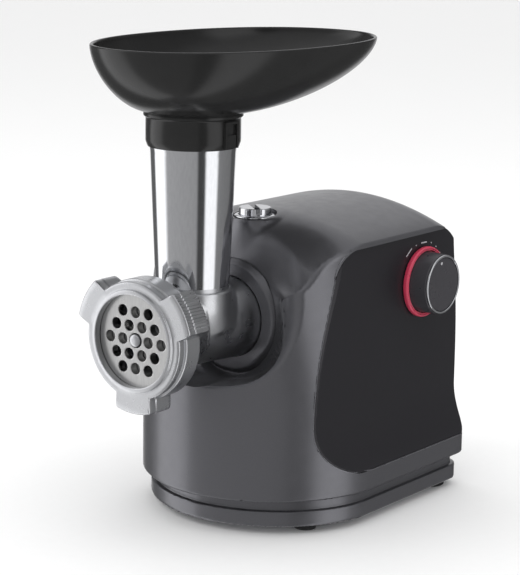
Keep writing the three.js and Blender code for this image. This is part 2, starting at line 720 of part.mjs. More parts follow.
function ringNut() {
  const lugOutline = steps(60).map((i) => {
    const angle = 2 * Math.PI * i / 60;
    const off = Math.abs(((angle - Math.PI / 6) / (2 * Math.PI / 3) + 1.5) % 1 - 0.5) * 120;
    const lift = 1 - smooth((off - 15) / 9);
    const wave = 0.9 * Math.cos(THREE.MathUtils.degToRad(off) * 12) * (1 - lift);
    const radius = mix(ringRadius + wave, ringLugRadius, lift);
    return [radius * Math.cos(angle), radius * Math.sin(angle)];
  });
  const bevel = steps(60).map((i) => lugOutline[i].map((value) => value * 0.965));
  const ring = lofted([
    bevel.map(([x, z]) => [x, -ringLip, z]),
    lugOutline.map(([x, z]) => [x, 1.2 - ringLip, z]),
    lugOutline.map(([x, z]) => [x, ringDepth - 1, z]),
    bevel.map(([x, z]) => [x, ringDepth, z]),
  ]);
  const rim = rod('y', ringOpening + 3, -ringLip - 1.5, -ringLip + 1, 0, 0, 40);
  return cut(joined(ring, rim), rod('y', ringOpening, -20, 20, 0, 0, 40),
    rod('y', cupRadius + gap, -gap, 20, 0, 0, 40));
}

part('ring_nut', ringNut(), 'cast');

// ---------------------------------------------------------------- auger and knife

function auger() {
  const front = plateThickness + 7;
  const rear = bulkheadFront - 3;
  const root = augerCore + 1.4;
  const sections = 32;
  const rings = steps(sections + 1).map((i) => {
    const y = mix(front, rear, i / sections);
    const turn = -2 * Math.PI * (y - front) / augerPitch;
    const thread = [-2.2, -1.0, -0.55, 0, 0.55, 1.0, 2.2, Math.PI];
    const radii = [augerCore, root, augerRadius, augerRadius, augerRadius, root, augerCore, augerCore];
    return thread.map((angle, k) => {
      const radius = radii[k];
      return [radius * Math.cos(angle + turn), y, radius * Math.sin(angle + turn)];
    });
  });
  const shoulder = augerCore - 0.5;
  const journal = turned('y', [[0, rear - 6], [shoulder, rear - 6], [shoulder, rear],
    [journalRadius, rear], [journalRadius, bulkheadRear + 1], [0, bulkheadRear + 1]], 0, 0, 20);
  const drive = rod('y', hexRadius, bulkheadRear, headLength + 3, 0, 0, 6);
  const square = rod('y', squareRadius, plateThickness + gap, front + 8, 0, 0, 4);
  const neck = rod('y', augerCore, front - 1, front + 2, 0, 0, 16);
  const pin = rod('y', drivePinRadius, -1.2, plateThickness + 1, 0, 0, 16);
  return joined(lofted(rings), journal, drive, square, neck, pin);
}

part('auger', auger(), 'cast');

function knife() {
  const from = plateThickness + gap;
  const to = from + 5;
  const tip = plateRadius - 3.5;
  const blade = [[-5, 3], [-4.5, 12], [-6.5, tip], [2.5, tip], [5.2, 12], [5, 3]];
  let cross = rod('y', 10.5, from, to, 0, 0, 20);
  steps(4).forEach((i) => {
    cross = joined(cross, prism('y', blade, from, to - 1.2).rotate([0, 90 * i, 0]));
  });
  return cut(cross, rod('y', squareRadius + gap * Math.SQRT2, 0, to + 5, 0, 0, 4));
}

part('knife', knife(), 'steel');

const washer = {
  inner: journalRadius + gap,
  outer: barrelBore - 2.5,
  from: bulkheadFront - 2.5,
  to: bulkheadFront - 0.6,
};

part('auger_washer', turned('y', [[washer.inner, washer.from], [washer.outer, washer.from],
  [washer.outer, washer.to], [washer.inner, washer.to]], 0, 0, 24), 'nylon');

// ---------------------------------------------------------------- hopper tray

function tray() {
  const ring = (y, halfLength, halfWidth, roundness, z) => steps(32).map((i) => {
    const angle = 2 * Math.PI * i / 32;
    return [halfWidth * power(Math.sin(angle), roundness),
      y + halfLength * power(Math.cos(angle), roundness), z];
  });
  const round = (radius, z) => ring(tubeY, radius, radius, 2, z);
  const bowlFloor = trayRim - trayDepth;
  const slope = 1.7;
  const bowl = (t, wall) => {
    const angle = t * Math.PI / 2;
    const out = Math.sin(angle) ** (2 / slope);
    const down = Math.cos(angle) ** (2 / slope);
    const back = wall * Math.sin(angle);
    return ring(mix(tubeY, trayY, out), mix(collarRadius, trayHalfLength, out) - back,
      mix(collarRadius, trayHalfWidth, out) - back, mix(2, 2.15, out),
      trayRim - trayDepth * down + wall * Math.cos(angle));
  };
  const levels = [0.16, 0.36, 0.56, 0.76, 0.9, 1];
  const throat = tubeTopRadius - tubeWall - 0.3;
  const sleeve = tubeTopRadius + 0.6;
  const body = lofted([
    round(collarRadius - 1.4, collarBottom), round(collarRadius, collarBottom + 2.2),
    round(collarRadius, bowlFloor - 3.4), round(collarRadius + 1, bowlFloor - 2.8),
    round(collarRadius + 1, bowlFloor - 0.4), ...levels.map((t) => bowl(t, 0)),
    ...[...levels].reverse().map((t) => bowl(t, trayWall)),
    round(throat + 1.5, bowlFloor + trayWall), round(throat, bowlFloor + 0.8),
    round(throat, tubeTop + gap), round(sleeve, tubeTop + gap), round(sleeve, collarBottom),
  ], true);
  const catches = [1, -1].map((side) => {
    const near = side * (collarRadius - 1);
    const far = side * (collarRadius + 1.3);
    return block(Math.min(near, far), Math.max(near, far), tubeY - 6, tubeY + 6,
      collarBottom + 1, collarBottom + 17);
  });
  return joined(body, ...catches);
}

part('tray', tray(), 'blackPlastic');

// ---------------------------------------------------------------- gears

// Involute teeth with their thickness eased by the play, one tooth centred on the aim angle.
function gearOutline(teeth, size, aim, fine) {
  const pitch = teeth * size / 2;
  const base = pitch * Math.cos(pressureAngle);
  const involute = (angle) => Math.tan(angle) - angle;
  const halfTooth = (radius) => Math.PI / (2 * teeth) - toothPlay / (2 * pitch)
    + involute(pressureAngle) - involute(Math.acos(Math.min(1, base / radius)));
  const root = pitch - 1.15 * size;
  const tip = pitch + 0.9 * size;
  const radii = fine ? [root, pitch, tip] : [root, tip];
  return steps(teeth).flatMap((i) => {
    const middle = aim + 2 * Math.PI * i / teeth;
    const rising = radii.map((r) => [r, middle - halfTooth(r)]);
    const falling = radii.map((r) => [r, middle + halfTooth(r)]).reverse();
    return [...rising, ...falling].map(([r, angle]) => [r * Math.cos(angle), r * Math.sin(angle)]);
  });
}

function gear(teeth, size, aim, from, to, x, z, fine = false) {
  const outline = gearOutline(teeth, size, aim, fine);
  return prism('y', outline.map(([u, v]) => [u + x, v + z]), from, to);
}

const outputGearFrom = 124;
const outputGearTo = 138.5;
const inputGearFrom = 140;
const inputGearTo = 148.7;
const caseFront = 120;
const caseWall = 2.5;
const coverFrom = 150.3;
const coverTo = 153.3;
const couplingFrom = bulkheadRear + 1.6;
const couplingTo = caseFront - 2.5;
const towardIdler = Math.atan2(idlerZ, idlerX);
const towardMotor = Math.atan2(motorZ - idlerZ, -idlerX);

function outputGear() {
  const wheel = gear(outputTeeth, outputModule, towardIdler, outputGearFrom, outputGearTo, 0, 0);
  const hub = rod('y', 13, outputGearFrom, outputGearTo + 3, 0, 0, 20);
  return cut(joined(wheel, hub), rod('y', shaftRadius + gap, 110, 150, 0, 0, 20));
}

part('output_gear', outputGear(), 'nylon');

part('drive_shaft', cut(
  turned('y', [[0, couplingFrom], [couplingRadius, couplingFrom], [couplingRadius, couplingTo],
    [shaftRadius, couplingTo], [shaftRadius, coverTo - 1.3], [0, coverTo - 1.3]], 0, 0, 20),
  rod('y', hexRadius + runGap, couplingFrom - 10, headLength + 4, 0, 0, 6)), 'steel');

function idlerGear() {
  const mesh = towardIdler + Math.PI + Math.PI / smallTeeth;
  const small = gear(smallTeeth, outputModule, mesh, outputGearFrom, inputGearFrom + 1,
    idlerX, idlerZ, true);
  const large = gear(largeTeeth, inputModule, towardMotor, inputGearFrom, inputGearTo, idlerX, idlerZ);
  const bore = rod('y', idlerAxleRadius + runGap, 110, 160, idlerX, idlerZ, 20);
  return cut(joined(large, small), bore);
}

part('idler_gear', idlerGear(), 'nylon');
part('idler_axle',
  rod('y', idlerAxleRadius, caseFront + gap, coverTo - 0.3, idlerX, idlerZ, 20), 'steel');

part('motor_pinion', cut(
  gear(pinionTeeth, inputModule, towardMotor + Math.PI + Math.PI / pinionTeeth,
    inputGearFrom - 0.4, inputGearTo, 0, motorZ, true),
  rod('y', motorShaftRadius - 0.6 + gap, 130, 160, 0, motorZ, 16)), 'steel');

// ---------------------------------------------------------------- gearbox

const rearBushRadius = 9.9;
const frontBushRadius = 13.1;
const frontBearingRadius = 9.4;
const rearBearingRadius = 8;
const earPlaces = [[31, 31], [-36, -26], [51.5, -61.5], [-11.5, -71.5]];

function gearRoom(extra, from, to) {
  const outputTip = outputModule * (outputTeeth / 2 + 0.9) + 1.1 + extra;
  const idlerTip = inputModule * (largeTeeth / 2 + 0.9) + 1.1 + extra;
  const pinionTip = inputModule * (pinionTeeth / 2 + 0.9) + 2.6 + extra;
  return joined(rod('y', outputTip, from, to, 0, 0, 28),
    rod('y', idlerTip, from, to, idlerX, idlerZ, 24), rod('y', pinionTip, from, to, 0, motorZ, 16));
}

const ears = (from, to) => earPlaces.map(([x, z]) => rod('y', 4.6, from, to, x, z, 10));
const earHoles = (radius, from, to) => earPlaces.map(([x, z]) => rod('y', radius, from, to, x, z, 8));

part('gearbox_case', cut(
  joined(gearRoom(caseWall, caseFront, coverFrom - gap),
    ...ears(caseFront + 8, coverFrom - gap)),
  gearRoom(0, caseFront + caseWall, coverFrom + 5),
  rod('y', frontBushRadius + gap, 110, 130, 0, 0, 20),
  rod('y', idlerAxleRadius + gap, 110, 130, idlerX, idlerZ, 12),
  ...earHoles(screwRadius + gap, 132, 160)), 'zinc');

part('gearbox_cover', cut(
  joined(gearRoom(caseWall, coverFrom, coverTo), ...ears(coverFrom, coverTo)),
  rod('y', rearBushRadius + gap, 140, 160, 0, 0, 20),
  rod('y', idlerAxleRadius + gap, 140, 160, idlerX, idlerZ, 12),
  rod('y', frontBearingRadius + gap, 140, 160, 0, motorZ, 20),
  ...earHoles(screwRadius + gap, 140, 160)), 'zinc');

earPlaces.forEach(([x, z], i) => {
  part(`gearbox_screw_${i + 1}`, screw('y', coverTo + gap + 2.4, 135, x, z), 'zinc');
});

const bushBore = shaftRadius + runGap;

part('front_bush', turned('y', [[bushBore, couplingTo + gap], [15.5, couplingTo + gap],
  [15.5, caseFront - gap], [frontBushRadius, caseFront - gap],
  [frontBushRadius, caseFront + caseWall], [bushBore, caseFront + caseWall]], 0, 0, 20), 'brass');
part('rear_bush', turned('y', [[bushBore, 146], [rearBushRadius, 146], [rearBushRadius, coverTo],
  [bushBore, coverTo]], 0, 0, 20), 'brass');

// ---------------------------------------------------------------- motor

const ringAbout = (inner, outer, from, to, sides = 20) => turned('y',
  [[inner, from], [outer, from], [outer, to], [inner, to]], 0, motorZ, sides);

part('motor_shaft', turned('y', [[0, 141], [motorShaftRadius - 0.6, 141], [motorShaftRadius - 0.6, 149],
  [motorShaftRadius, 149], [motorShaftRadius, 236], [0, 236]], 0, motorZ, 16), 'steel');
part('front_bearing',
  ringAbout(motorShaftRadius + runGap, frontBearingRadius, coverFrom, 156), 'steel');
part('rear_bearing',
  ringAbout(motorShaftRadius + runGap, rearBearingRadius, 226, 232), 'steel');

function slottedDrum(radius, depth, slots, width, from, to) {
  const turn = 2 * Math.PI / slots;
  const tooth = [[radius - depth, -width], [radius - depth, width], [radius, width + 0.02],
    [radius, turn - width - 0.02]];
  const outline = steps(slots).flatMap((i) => tooth.map(([r, a]) => [
    r * Math.cos(i * turn + a), r * Math.sin(i * turn + a) + motorZ]));
  const bore = rod('y', motorShaftRadius + gap, from - 1, to + 1, 0, motorZ, 16);
  return cut(prism('y', outline, from, to), bore);
}

part('armature', slottedDrum(armatureRadius, 6, 12, 0.09, 173, 203), 'zinc');
part('commutator', slottedDrum(9, 0.7, 12, 0.05, 211, 223), 'copper');

function coolingFan() {
  let fan = joined(rod('y', 8, 157, 165, 0, motorZ, 16), rod('y', 26, 163.4, 165, 0, motorZ, 28));
  steps(9).forEach((i) => {
    const blade = block(6, 25, 157, 164, -0.8, 0.8).rotate([0, 40 * i, 0]);
    fan = fan.add(blade.translate([0, 0, motorZ]));
  });
  return cut(fan, rod('y', motorShaftRadius + gap, 150, 170, 0, motorZ, 16));
}

part('cooling_fan', coolingFan(), 'blackPlastic');

const coilWindow = { near: armatureRadius + 0.9, far: 27, half: 9 };

const statorFlat = 28;         // half the height between its two flats

part('stator', cut(
  rod('y', statorRadius, 172, 204, 0, motorZ, 28).intersect(
    block(-40, 40, 170, 210, motorZ - statorFlat, motorZ + statorFlat)),
  rod('y', armatureRadius + 0.7, 170, 210, 0, motorZ, 28),
  block(-coilWindow.far, coilWindow.far, 170, 210, motorZ - coilWindow.half,
    motorZ + coilWindow.half)), 'zinc');

[['right', 1], ['left', -1]].forEach(([side, sign]) => {
  const bar = (near, far, y0, y1, half) => block(Math.min(sign * near, sign * far),
    Math.max(sign * near, sign * far), y0, y1, motorZ - half, motorZ + half);
  const overhang = coilWindow.far + 3;
  part(`field_coil_${side}`, joined(
    bar(coilWindow.near, coilWindow.far - gap, 167, 209, coilWindow.half - gap),
    bar(coilWindow.near, overhang, 167, 171.5, 14),
    bar(coilWindow.near, overhang, 204.5, 209, 14)), 'copper');
  part(`brush_holder_${side}`,
    cut(bar(11, 25, 212.5, 221.5, 4.5), bar(9, 30, 214, 220, 3)), 'brass');
  part(`carbon_brush_${side}`, bar(9 + runGap, 20, 214 + gap, 220 - gap, 3 - gap), 'carbon');
});

function motorCradle() {
  const floor = baseBottom + baseWall + gap;
  const plate = block(-33, 33, 226.5, 229, floor, motorZ + 14);
  const sheet = block(-33, 33, 172, 229, floor, floor + 2.5);
  const saddle = block(-24, 24, 176, 200, floor, motorZ - 20);
  const arms = [-28, 25.4].map((x) => block(x, x + 2.6, 213, 228, motorZ - 4.5, motorZ + 4.5));
  const statorRoom = rod('y', statorRadius + gap, 170, 206, 0, motorZ, 28).intersect(
    block(-40, 40, 165, 210, motorZ - statorFlat - gap, motorZ + 40));
  return cut(joined(plate, sheet, saddle, ...arms), statorRoom,
    rod('y', rearBearingRadius + gap, 220, 240, 0, motorZ, 20));
}

part('motor_cradle', motorCradle(), 'zinc');

function controlBoard() {
  const face = gap + casingInset - panelFace;
  const board = block(face + 2, face + 3.6, 168, 234, -22, 34);
  const chips = [[172, 184, -14, 4], [190, 200, -14, 20], [206, 228, -16, 2], [210, 222, 12, 26]];
  const raised = chips.map(([y0, y1, z0, z1]) => block(face + 3, face + 13, y0, y1, z0, z1));
  return joined(board, ...raised);
}

part('control_board', controlBoard(), 'board');

// ---------------------------------------------------------------- standing frame

const frontmost = trayY - trayHalfLength;
const rearmost = shellRear + 2;
grinder.position.set(0, -(frontmost + rearmost) / 2, axisHeight);

export default grinder;
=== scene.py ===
"""Electric meat grinder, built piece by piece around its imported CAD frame.

Shapes are drawn in millimetres about the grinding axis: x and z are 0 on the axis, y is 0 on the
hole plate's front face and grows towards the rear. placed() moves them to the frame, in metres.
"""

import math

import bmesh
import bpy
import numpy as np
from mathutils import Matrix, Vector


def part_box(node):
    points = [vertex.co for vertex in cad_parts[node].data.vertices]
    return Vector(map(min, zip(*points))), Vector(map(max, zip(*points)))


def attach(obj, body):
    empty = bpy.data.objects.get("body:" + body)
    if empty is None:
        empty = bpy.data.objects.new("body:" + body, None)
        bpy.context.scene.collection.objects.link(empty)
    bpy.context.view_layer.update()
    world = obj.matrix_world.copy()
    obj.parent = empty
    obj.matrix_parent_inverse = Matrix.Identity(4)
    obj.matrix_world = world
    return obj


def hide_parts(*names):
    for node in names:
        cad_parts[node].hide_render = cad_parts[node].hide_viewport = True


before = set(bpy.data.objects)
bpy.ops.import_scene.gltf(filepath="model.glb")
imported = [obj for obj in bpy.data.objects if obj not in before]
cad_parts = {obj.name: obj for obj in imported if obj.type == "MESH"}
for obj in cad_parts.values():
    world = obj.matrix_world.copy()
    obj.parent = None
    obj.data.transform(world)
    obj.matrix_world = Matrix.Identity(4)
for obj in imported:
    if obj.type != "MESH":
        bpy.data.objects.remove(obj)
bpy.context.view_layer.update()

bl_info = {
    "name": "Meat Grinder",
    "version": (1, 0, 0),
    "blender": (4, 5, 0),
    "location": "3D View > Sidebar > Grinder",
    "description": "Builds an electric meat grinder piece by piece around its CAD frame",
    "category": "Object",
}

MM = 0.001

# ------------------------------------------------------------------ places and sizes of the frame


def middle(node):
    low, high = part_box(node)
    return (low + high) / 2


AXIS = np.array([0.0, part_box("hole_plate")[0].y, middle("drive_shaft").z])

SHELL_BOTTOM = -108.0
SHELL_REAR = 248.0
NOSE_FRONT = 50.0
NOSE_CENTRE = 131.0
NOSE_POWER = 1.9
CREST = 64.0
ROOF_RADIUS = 161.0
ROOF_FRONT = (135.0, 44.0, 30.0)     # where its front rounding starts, its length and its drop
ROOF_REAR = (218.0, 32.0, 34.0)
SCOOP_FACE = 91.3
SOCKET_SEAT = 93.0
PANEL_FACE = 70.0
PANEL_THICKNESS = 3.3
PANEL_ROOM = 0.6                      # behind a panel, down to the floor of its recess
PANEL_WRAP = 1.2                     # how far its front edge bends in with the nose
PANEL_TOP = 46.0
PANEL_CORNER = 18.0
FLARE_RADIUS = 45.0
FLARE_CENTRE = -62.0
BASE_BOTTOM = -126.0
TUBE_Y = 52.8
TUBE_TOP = 128.0
TUBE_FOOT = 27.0                     # where the polished tube meets the blasted barrel
KNOB_Y, KNOB_Z = 204.0, 14.0
KNOB_RADIUS = 20.0
BUTTON_Y = 115.0
BUTTON_TOP = 66.5
BUTTON_RADIUS = 10.3
BUTTON_SEAT = BUTTON_TOP - 6.2       # seat of the bezel
BUTTON_WELL = BUTTON_TOP - 18.0
STEM_BOTTOM = 36.5
GAP = 0.4
BOSS_BOTTOM = SHELL_BOTTOM + 5
BOSSES = [(side * 56, station) for side in (1, -1) for station in (112, 212)]
# end, place across and along, radius under the base, radius on the table
FEET = (("front", 55, 100, 6.5, 7), ("rear", 64, 229, 7.5, 10.5))
VENT_HALF, VENT_BOTTOM, VENT_TOP = 42, -90, 26
GLAND_X, GLAND_Z, GLAND_RADIUS = -57, -80, 7
SOCKET_FACE = 89.0
SOCKET_BORE = 26.5
SOCKET_NECK = 33.0
FLANGE_RADIUS = 37.5
GROOVE_RADIUS = 30.2                 # of the bayonet groove, and where it starts and ends
GROOVE_FROM, GROOVE_TO = 97, 104
BARREL_BORE = 21.0
HEAD_REAR = 109.0
CUP_RADIUS = 34.0
PLATE_RADIUS = 31.0
PLATE_THICKNESS = 5.0
HOLE_RADIUS = 3.5
HOLE_PITCH = 10.0
PIN_HOLE = 4.6
RING_RADIUS = 37.0
GRIP_RADIUS = 45.2
RING_OPENING = 28.5
RING_REAR = 17.0
AUGER_FRONT, AUGER_REAR = 12, 91
AUGER_PITCH = 24
AUGER_RADIUS, AUGER_CORE = 19.6, 9.5
TRAY_Y = 95.1
TRAY_HALF_LENGTH = 107.7
TRAY_HALF_WIDTH = 69.9
TRAY_RIM = 173.4
TRAY_DEPTH = 40.0
BOWL_POWER = 1.7
COLLAR_RADIUS = 29.0
CAMERA_AZIMUTH, CAMERA_ELEVATION, CAMERA_ROLL = 37.56, 12.04, 0.82


def shell_half(z):
    """Half the shell's width at a height."""
    t = np.clip((z + 60) / 105, 0, 1)
    return 84 - 12 * t * t * (3 - 2 * t)


FLARE_FOOT = FLARE_CENTRE - math.sqrt(FLARE_RADIUS**2 - (PANEL_FACE + FLARE_RADIUS - 84.0) ** 2)


def panel_face(z, inset=0.0):
    """Outer face of a side panel at a height: flat, then hollowed outwards at its foot."""
    radius = FLARE_RADIUS + inset
    rise = np.clip(FLARE_CENTRE - z, 0, radius * 0.995)
    return PANEL_FACE + FLARE_RADIUS - np.sqrt(radius**2 - rise**2)


def panel_front(z):
    """Station where the side panel's face meets the shell's round nose."""
    share = np.clip((panel_face(z) - PANEL_WRAP) / shell_half(z), 0, 1)
    return NOSE_CENTRE - (NOSE_CENTRE - NOSE_FRONT) * (1 - share**NOSE_POWER) ** (1 / NOSE_POWER)


# ------------------------------------------------------------------ sizes and colours to change


def linear(code):
    """An sRGB hex value as linear red, green, blue and alpha."""
    parts = [int(code[i : i + 2], 16) / 255 for i in (0, 2, 4)]
    return [p / 12.92 if p <= 0.04045 else ((p + 0.055) / 1.055) ** 2.4 for p in parts] + [1.0]


def length(name, description, millimetres):
    return bpy.props.FloatProperty(
        name=name, description=description, default=millimetres * MM, min=0, unit="LENGTH", precision=5
    )


def colour(name, description, code):
    return bpy.props.FloatVectorProperty(
        name=name, description=description, size=4, subtype="COLOR", min=0, max=1, default=linear(code)
    )


class GrinderSizes(bpy.types.PropertyGroup):
    shell_edge: length("Shell edge", "Round of the shell's roof and skirt edges", 1.8)
    shelf_edge: length("Shelf edge", "Round of the scoop's lower lip", 1.6)
    shoulder: length("Shoulder", "Round of the scoop's upper edges", 15)
    scoop_fillet: length("Scoop fillet", "Hollow corner between the scoop's wall and sides", 16)
    seam_bead: length("Seam bead", "Radius of the bright line round a side panel", 0.32)
    ridge_pitch: bpy.props.FloatProperty(
        name="Ridge pitch", description="Angle between two grip ridges on the ring nut",
        default=math.radians(2.6), subtype="ANGLE",
    )
    ridge_depth: length("Ridge depth", "Depth of the grip ridges on the ring nut", 0.55)
    tray_wall: length("Tray wall", "Thickness of the hopper tray", 2.2)
    mark_size: length("Dial mark", "Width of the printed marks above the knob", 0.8)
    slat_count: bpy.props.IntProperty(
        name="Slats", description="Bars across the rear vent", default=7, min=1
    )


class GrinderColours(bpy.types.PropertyGroup):
    shell: colour("Shell", "Metallic paint of the shell and base", "69696d")
    panel: colour("Panel", "Moulded side panels", "262529")
    tray: colour("Tray", "Moulded hopper tray", "232323")
    knob_ring: colour("Knob ring", "Ring under the knob", "c23a55")
    floor: colour("Floor", "Studio floor and surround", "f4f4f4")


def sizes():
    return bpy.context.scene.grinder_sizes


def colours():
    return bpy.context.scene.grinder_colours


# ------------------------------------------------------------------ meshes


def placed(points):
    """Points drawn about the grinding axis, in the frame and in metres."""
    return np.asarray(points, float) * MM + AXIS


def new_object(name, mesh):
    piece = bpy.data.objects.new(name, mesh)
    bpy.context.scene.collection.objects.link(piece)
    return piece


def cleaned(mesh, crease=35):
    """Closes seams and poles, points the faces outwards and shades smooth up to a crease angle."""
    work = bmesh.new()
    work.from_mesh(mesh)
    bmesh.ops.remove_doubles(work, verts=work.verts, dist=2e-6)
    bmesh.ops.dissolve_degenerate(work, edges=work.edges, dist=1e-7)
    bmesh.ops.recalc_face_normals(work, faces=work.faces)
    work.to_mesh(mesh)
    work.free()
    mesh.shade_smooth()
    mesh.set_sharp_from_angle(angle=math.radians(crease))
    return mesh


def meshed(name, shells, material, crease=35):
    """One object from (points, faces) shells."""
    points, faces = [], []
    for shell_points, shell_faces in shells:
        shift = len(points)
        points.extend(placed(shell_points).tolist())
        faces.extend([tuple(i + shift for i in face) for face in shell_faces])
    mesh = bpy.data.meshes.new(name)
    mesh.from_pydata(points, [], faces)
    mesh.materials.append(material)
    return new_object(name, cleaned(mesh, crease))


def skin(rings, loop=False):
    """Faces over rings of points with equal counts: capped at both ends, or joined in a loop."""
    rings = np.asarray(rings, float)
    rows, count = rings.shape[:2]
    faces = []
    for i in range(rows if loop else rows - 1):
        low, high = i * count, (i + 1) % rows * count
        for k in range(count):
            after = (k + 1) % count
            faces.append((low + k, low + after, high + after, high + k))
    if not loop:
        faces.append(tuple(reversed(range(count))))
        faces.append(tuple((rows - 1) * count + k for k in range(count)))
    return rings.reshape(-1, 3), faces


def eased(profile, steps=5, loop=False):
    """Profile of (radius, station, corner length) points with its corners drawn as arcs."""
    path = []
    for i, (radius, station, corner) in enumerate(profile):
        here = np.array((radius, station))
        if corner == 0 or (not loop and i in (0, len(profile) - 1)):
            path.append(here)
            continue
        before = np.array(profile[i - 1][:2]) - here
        after = np.array(profile[(i + 1) % len(profile)][:2]) - here
        reach = min(corner, 0.49 * np.linalg.norm(before), 0.49 * np.linalg.norm(after))
        start = here + before / np.linalg.norm(before) * reach
        end = here + after / np.linalg.norm(after) * reach
        for t in np.linspace(0, 1, steps + 1):
            path.append((1 - t) ** 2 * start + 2 * t * (1 - t) * here + t * t * end)
    return np.array(path)


def lathe(axis, profile, centre, sides=96, steps=5):
    """A profile turned about a line along an axis. centre is the other two coordinates, in row order."""
    loop = profile[0][0] > 0
    path = eased(profile, steps, loop)
    angles = np.linspace(0, 2 * math.pi, sides, endpoint=False)
    radius, station = path[:, :1], path[:, 1:]
    u = centre[0] + radius * np.cos(angles)
    v = centre[1] + radius * np.sin(angles)
    along = np.broadcast_to(station, u.shape)
    order = {"x": (along, u, v), "y": (u, along, v), "z": (u, v, along)}[axis]
    return skin(np.stack(order, axis=2), loop)


# Solids are also written as fields: a distance below 0 inside and above 0 outside, in millimetres.


def both(a, b, rounding=0.0):
    """What is inside both fields, with the edge between them rounded."""
    sharp = np.maximum(a, b)
    if np.isscalar(rounding) and rounding == 0:
        return sharp
    return (np.minimum(-rounding, sharp)
            + np.hypot(np.maximum(rounding + a, 0), np.maximum(rounding + b, 0)))


def either(a, b, fillet=0.0):
    """What is inside one field or the other, with a fillet in the corner between them."""
    sharp = np.minimum(a, b)
    if fillet == 0:
        return sharp
    return (np.maximum(fillet, sharp)
            - np.hypot(np.maximum(fillet - a, 0), np.maximum(fillet - b, 0)))


def between(value, low, high):
    return np.maximum(low - value, value - high)


def slope(field, points, reach=0.02):
    """Unit direction in which a field grows, at each point."""
    steps = []
    for axis in range(3):
        ahead, behind = points.copy(), points.copy()
        ahead[:, axis] += reach
        behind[:, axis] -= reach
        steps.append(field(*ahead.T) - field(*behind.T))
    normal = np.stack(steps, 1)
    return normal / np.maximum(np.linalg.norm(normal, axis=1, keepdims=True), 1e-12)


def crossings(field, low, step, value, axis):
    """Grid edges along an axis that the surface crosses: their index, way, point and normal."""
    behind, ahead = [slice(None)] * 3, [slice(None)] * 3
    behind[axis], ahead[axis] = slice(None, -1), slice(1, None)
    inside = value < 0
    index = np.argwhere(inside[tuple(behind)] != inside[tuple(ahead)])
    outward = inside[tuple(index.T)]
    near = low + step * index
    far = near.copy()
    far[:, axis] += step
    for _ in range(9):
        half = (near + far) / 2
        same = (field(*half.T) < 0) == outward
        near[same] = half[same]
        far[~same] = half[~same]
    points = (near + far) / 2
    return index, outward, points, slope(field, points)


def contoured(name, field, low, high, step, material):
    """Skins a field on a grid: one vertex to a cell, drawn to the edges and corners it holds."""
    low = np.asarray(low, float)
    counts = np.ceil((np.asarray(high, float) - low) / step).astype(int) + 1
    lines = [start + step * np.arange(count) for start, count in zip(low, counts)]
    value = field(*np.meshgrid(*lines, indexing="ij"))
    cells, points, normals, quads = [], [], [], []
    for axis in range(3):
        index, outward, where, normal = crossings(field, low, step, value, axis)
        u, v = (axis + 1) % 3, (axis + 2) % 3
        ring = []
        for du, dv in ((-1, -1), (0, -1), (0, 0), (-1, 0)):
            cell = index.copy()
            cell[:, u] += du
            cell[:, v] += dv
            ring.append(np.ravel_multi_index(cell.T, counts))
        quad = np.stack(ring, 1)
        quad[~outward] = quad[~outward][:, ::-1]
        quads.append(quad)
        cells.extend(ring)
        points.extend([where] * 4)
        normals.extend([normal] * 4)
    points, normals = np.concatenate(points), np.concatenate(normals)
    used, slot_of = np.unique(np.concatenate(cells), return_inverse=True)
    total = len(used)

    def summed(weights):
        return np.bincount(slot_of, weights, total)

    count = summed(np.ones(len(slot_of)))
    centre = np.stack([summed(points[:, a]) for a in range(3)], 1) / count[:, None]
    lean = np.stack([summed(normals[:, a]) for a in range(3)], 1) / count[:, None]
    offset = ((points - centre[slot_of]) * normals).sum(1)
    pull = np.stack([summed(normals[:, a] * offset) for a in range(3)], 1)
    system = np.empty((total, 3, 3))
    for a in range(3):
        for b in range(3):
            system[:, a, b] = summed(normals[:, a] * normals[:, b])
    system += np.eye(3) * (0.02 * count)[:, None, None]
    corner = low + step * np.stack(np.unravel_index(used, counts), 1)
    vertex = centre + np.linalg.solve(system, pull[..., None])[..., 0]
    vertex = np.clip(vertex, corner, corner + step)
    faces = np.searchsorted(used, np.concatenate(quads))
    creased = np.linalg.norm(lean, axis=1) < 0.95
    loops = faces.ravel()
    shade = slope(field, vertex)[loops]
    sharp = creased[loops]
    inward = np.repeat(vertex[faces].mean(1), 4, axis=0) - vertex[loops]
    shade[sharp] = slope(field, vertex[loops][sharp] + 0.4 * inward[sharp])
    mesh = bpy.data.meshes.new(name)
    mesh.from_pydata(placed(vertex), [], faces)
    mesh.materials.append(material)
    mesh.shade_smooth()
    mesh.normals_split_custom_set(shade)
    return new_object(name, mesh)


def kept(piece, body, slot, *nodes):
    """Rides a piece on its body and hides the CAD nodes it stands for. Its slot is not used."""
    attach(piece, body)
    if nodes:
        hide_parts(*nodes)
    return piece


# ------------------------------------------------------------------ geometry node trees


def add(tree, kind, inputs=None, **attributes):
    """Adds a node, sets its attributes and fills or links its inputs. Returns it."""
    node = tree.nodes.new(kind)
    for key, value in attributes.items():
        setattr(node, key, value)
    for key, value in (inputs or {}).items():
        if isinstance(value, bpy.types.NodeSocket):
            tree.links.new(value, node.inputs[key])
        else:
            node.inputs[key].default_value = value
    return node


def new_tree(name, inputs):
    """A Geometry Nodes tree with named inputs and one geometry output."""
    tree = bpy.data.node_groups.new(name, "GeometryNodeTree")
    for label, kind in inputs.items():
        tree.interface.new_socket(name=label, in_out="INPUT", socket_type=kind)
    tree.interface.new_socket(name="Geometry", in_out="OUTPUT", socket_type="NodeSocketGeometry")
    return tree, tree.nodes.new("NodeGroupInput").outputs


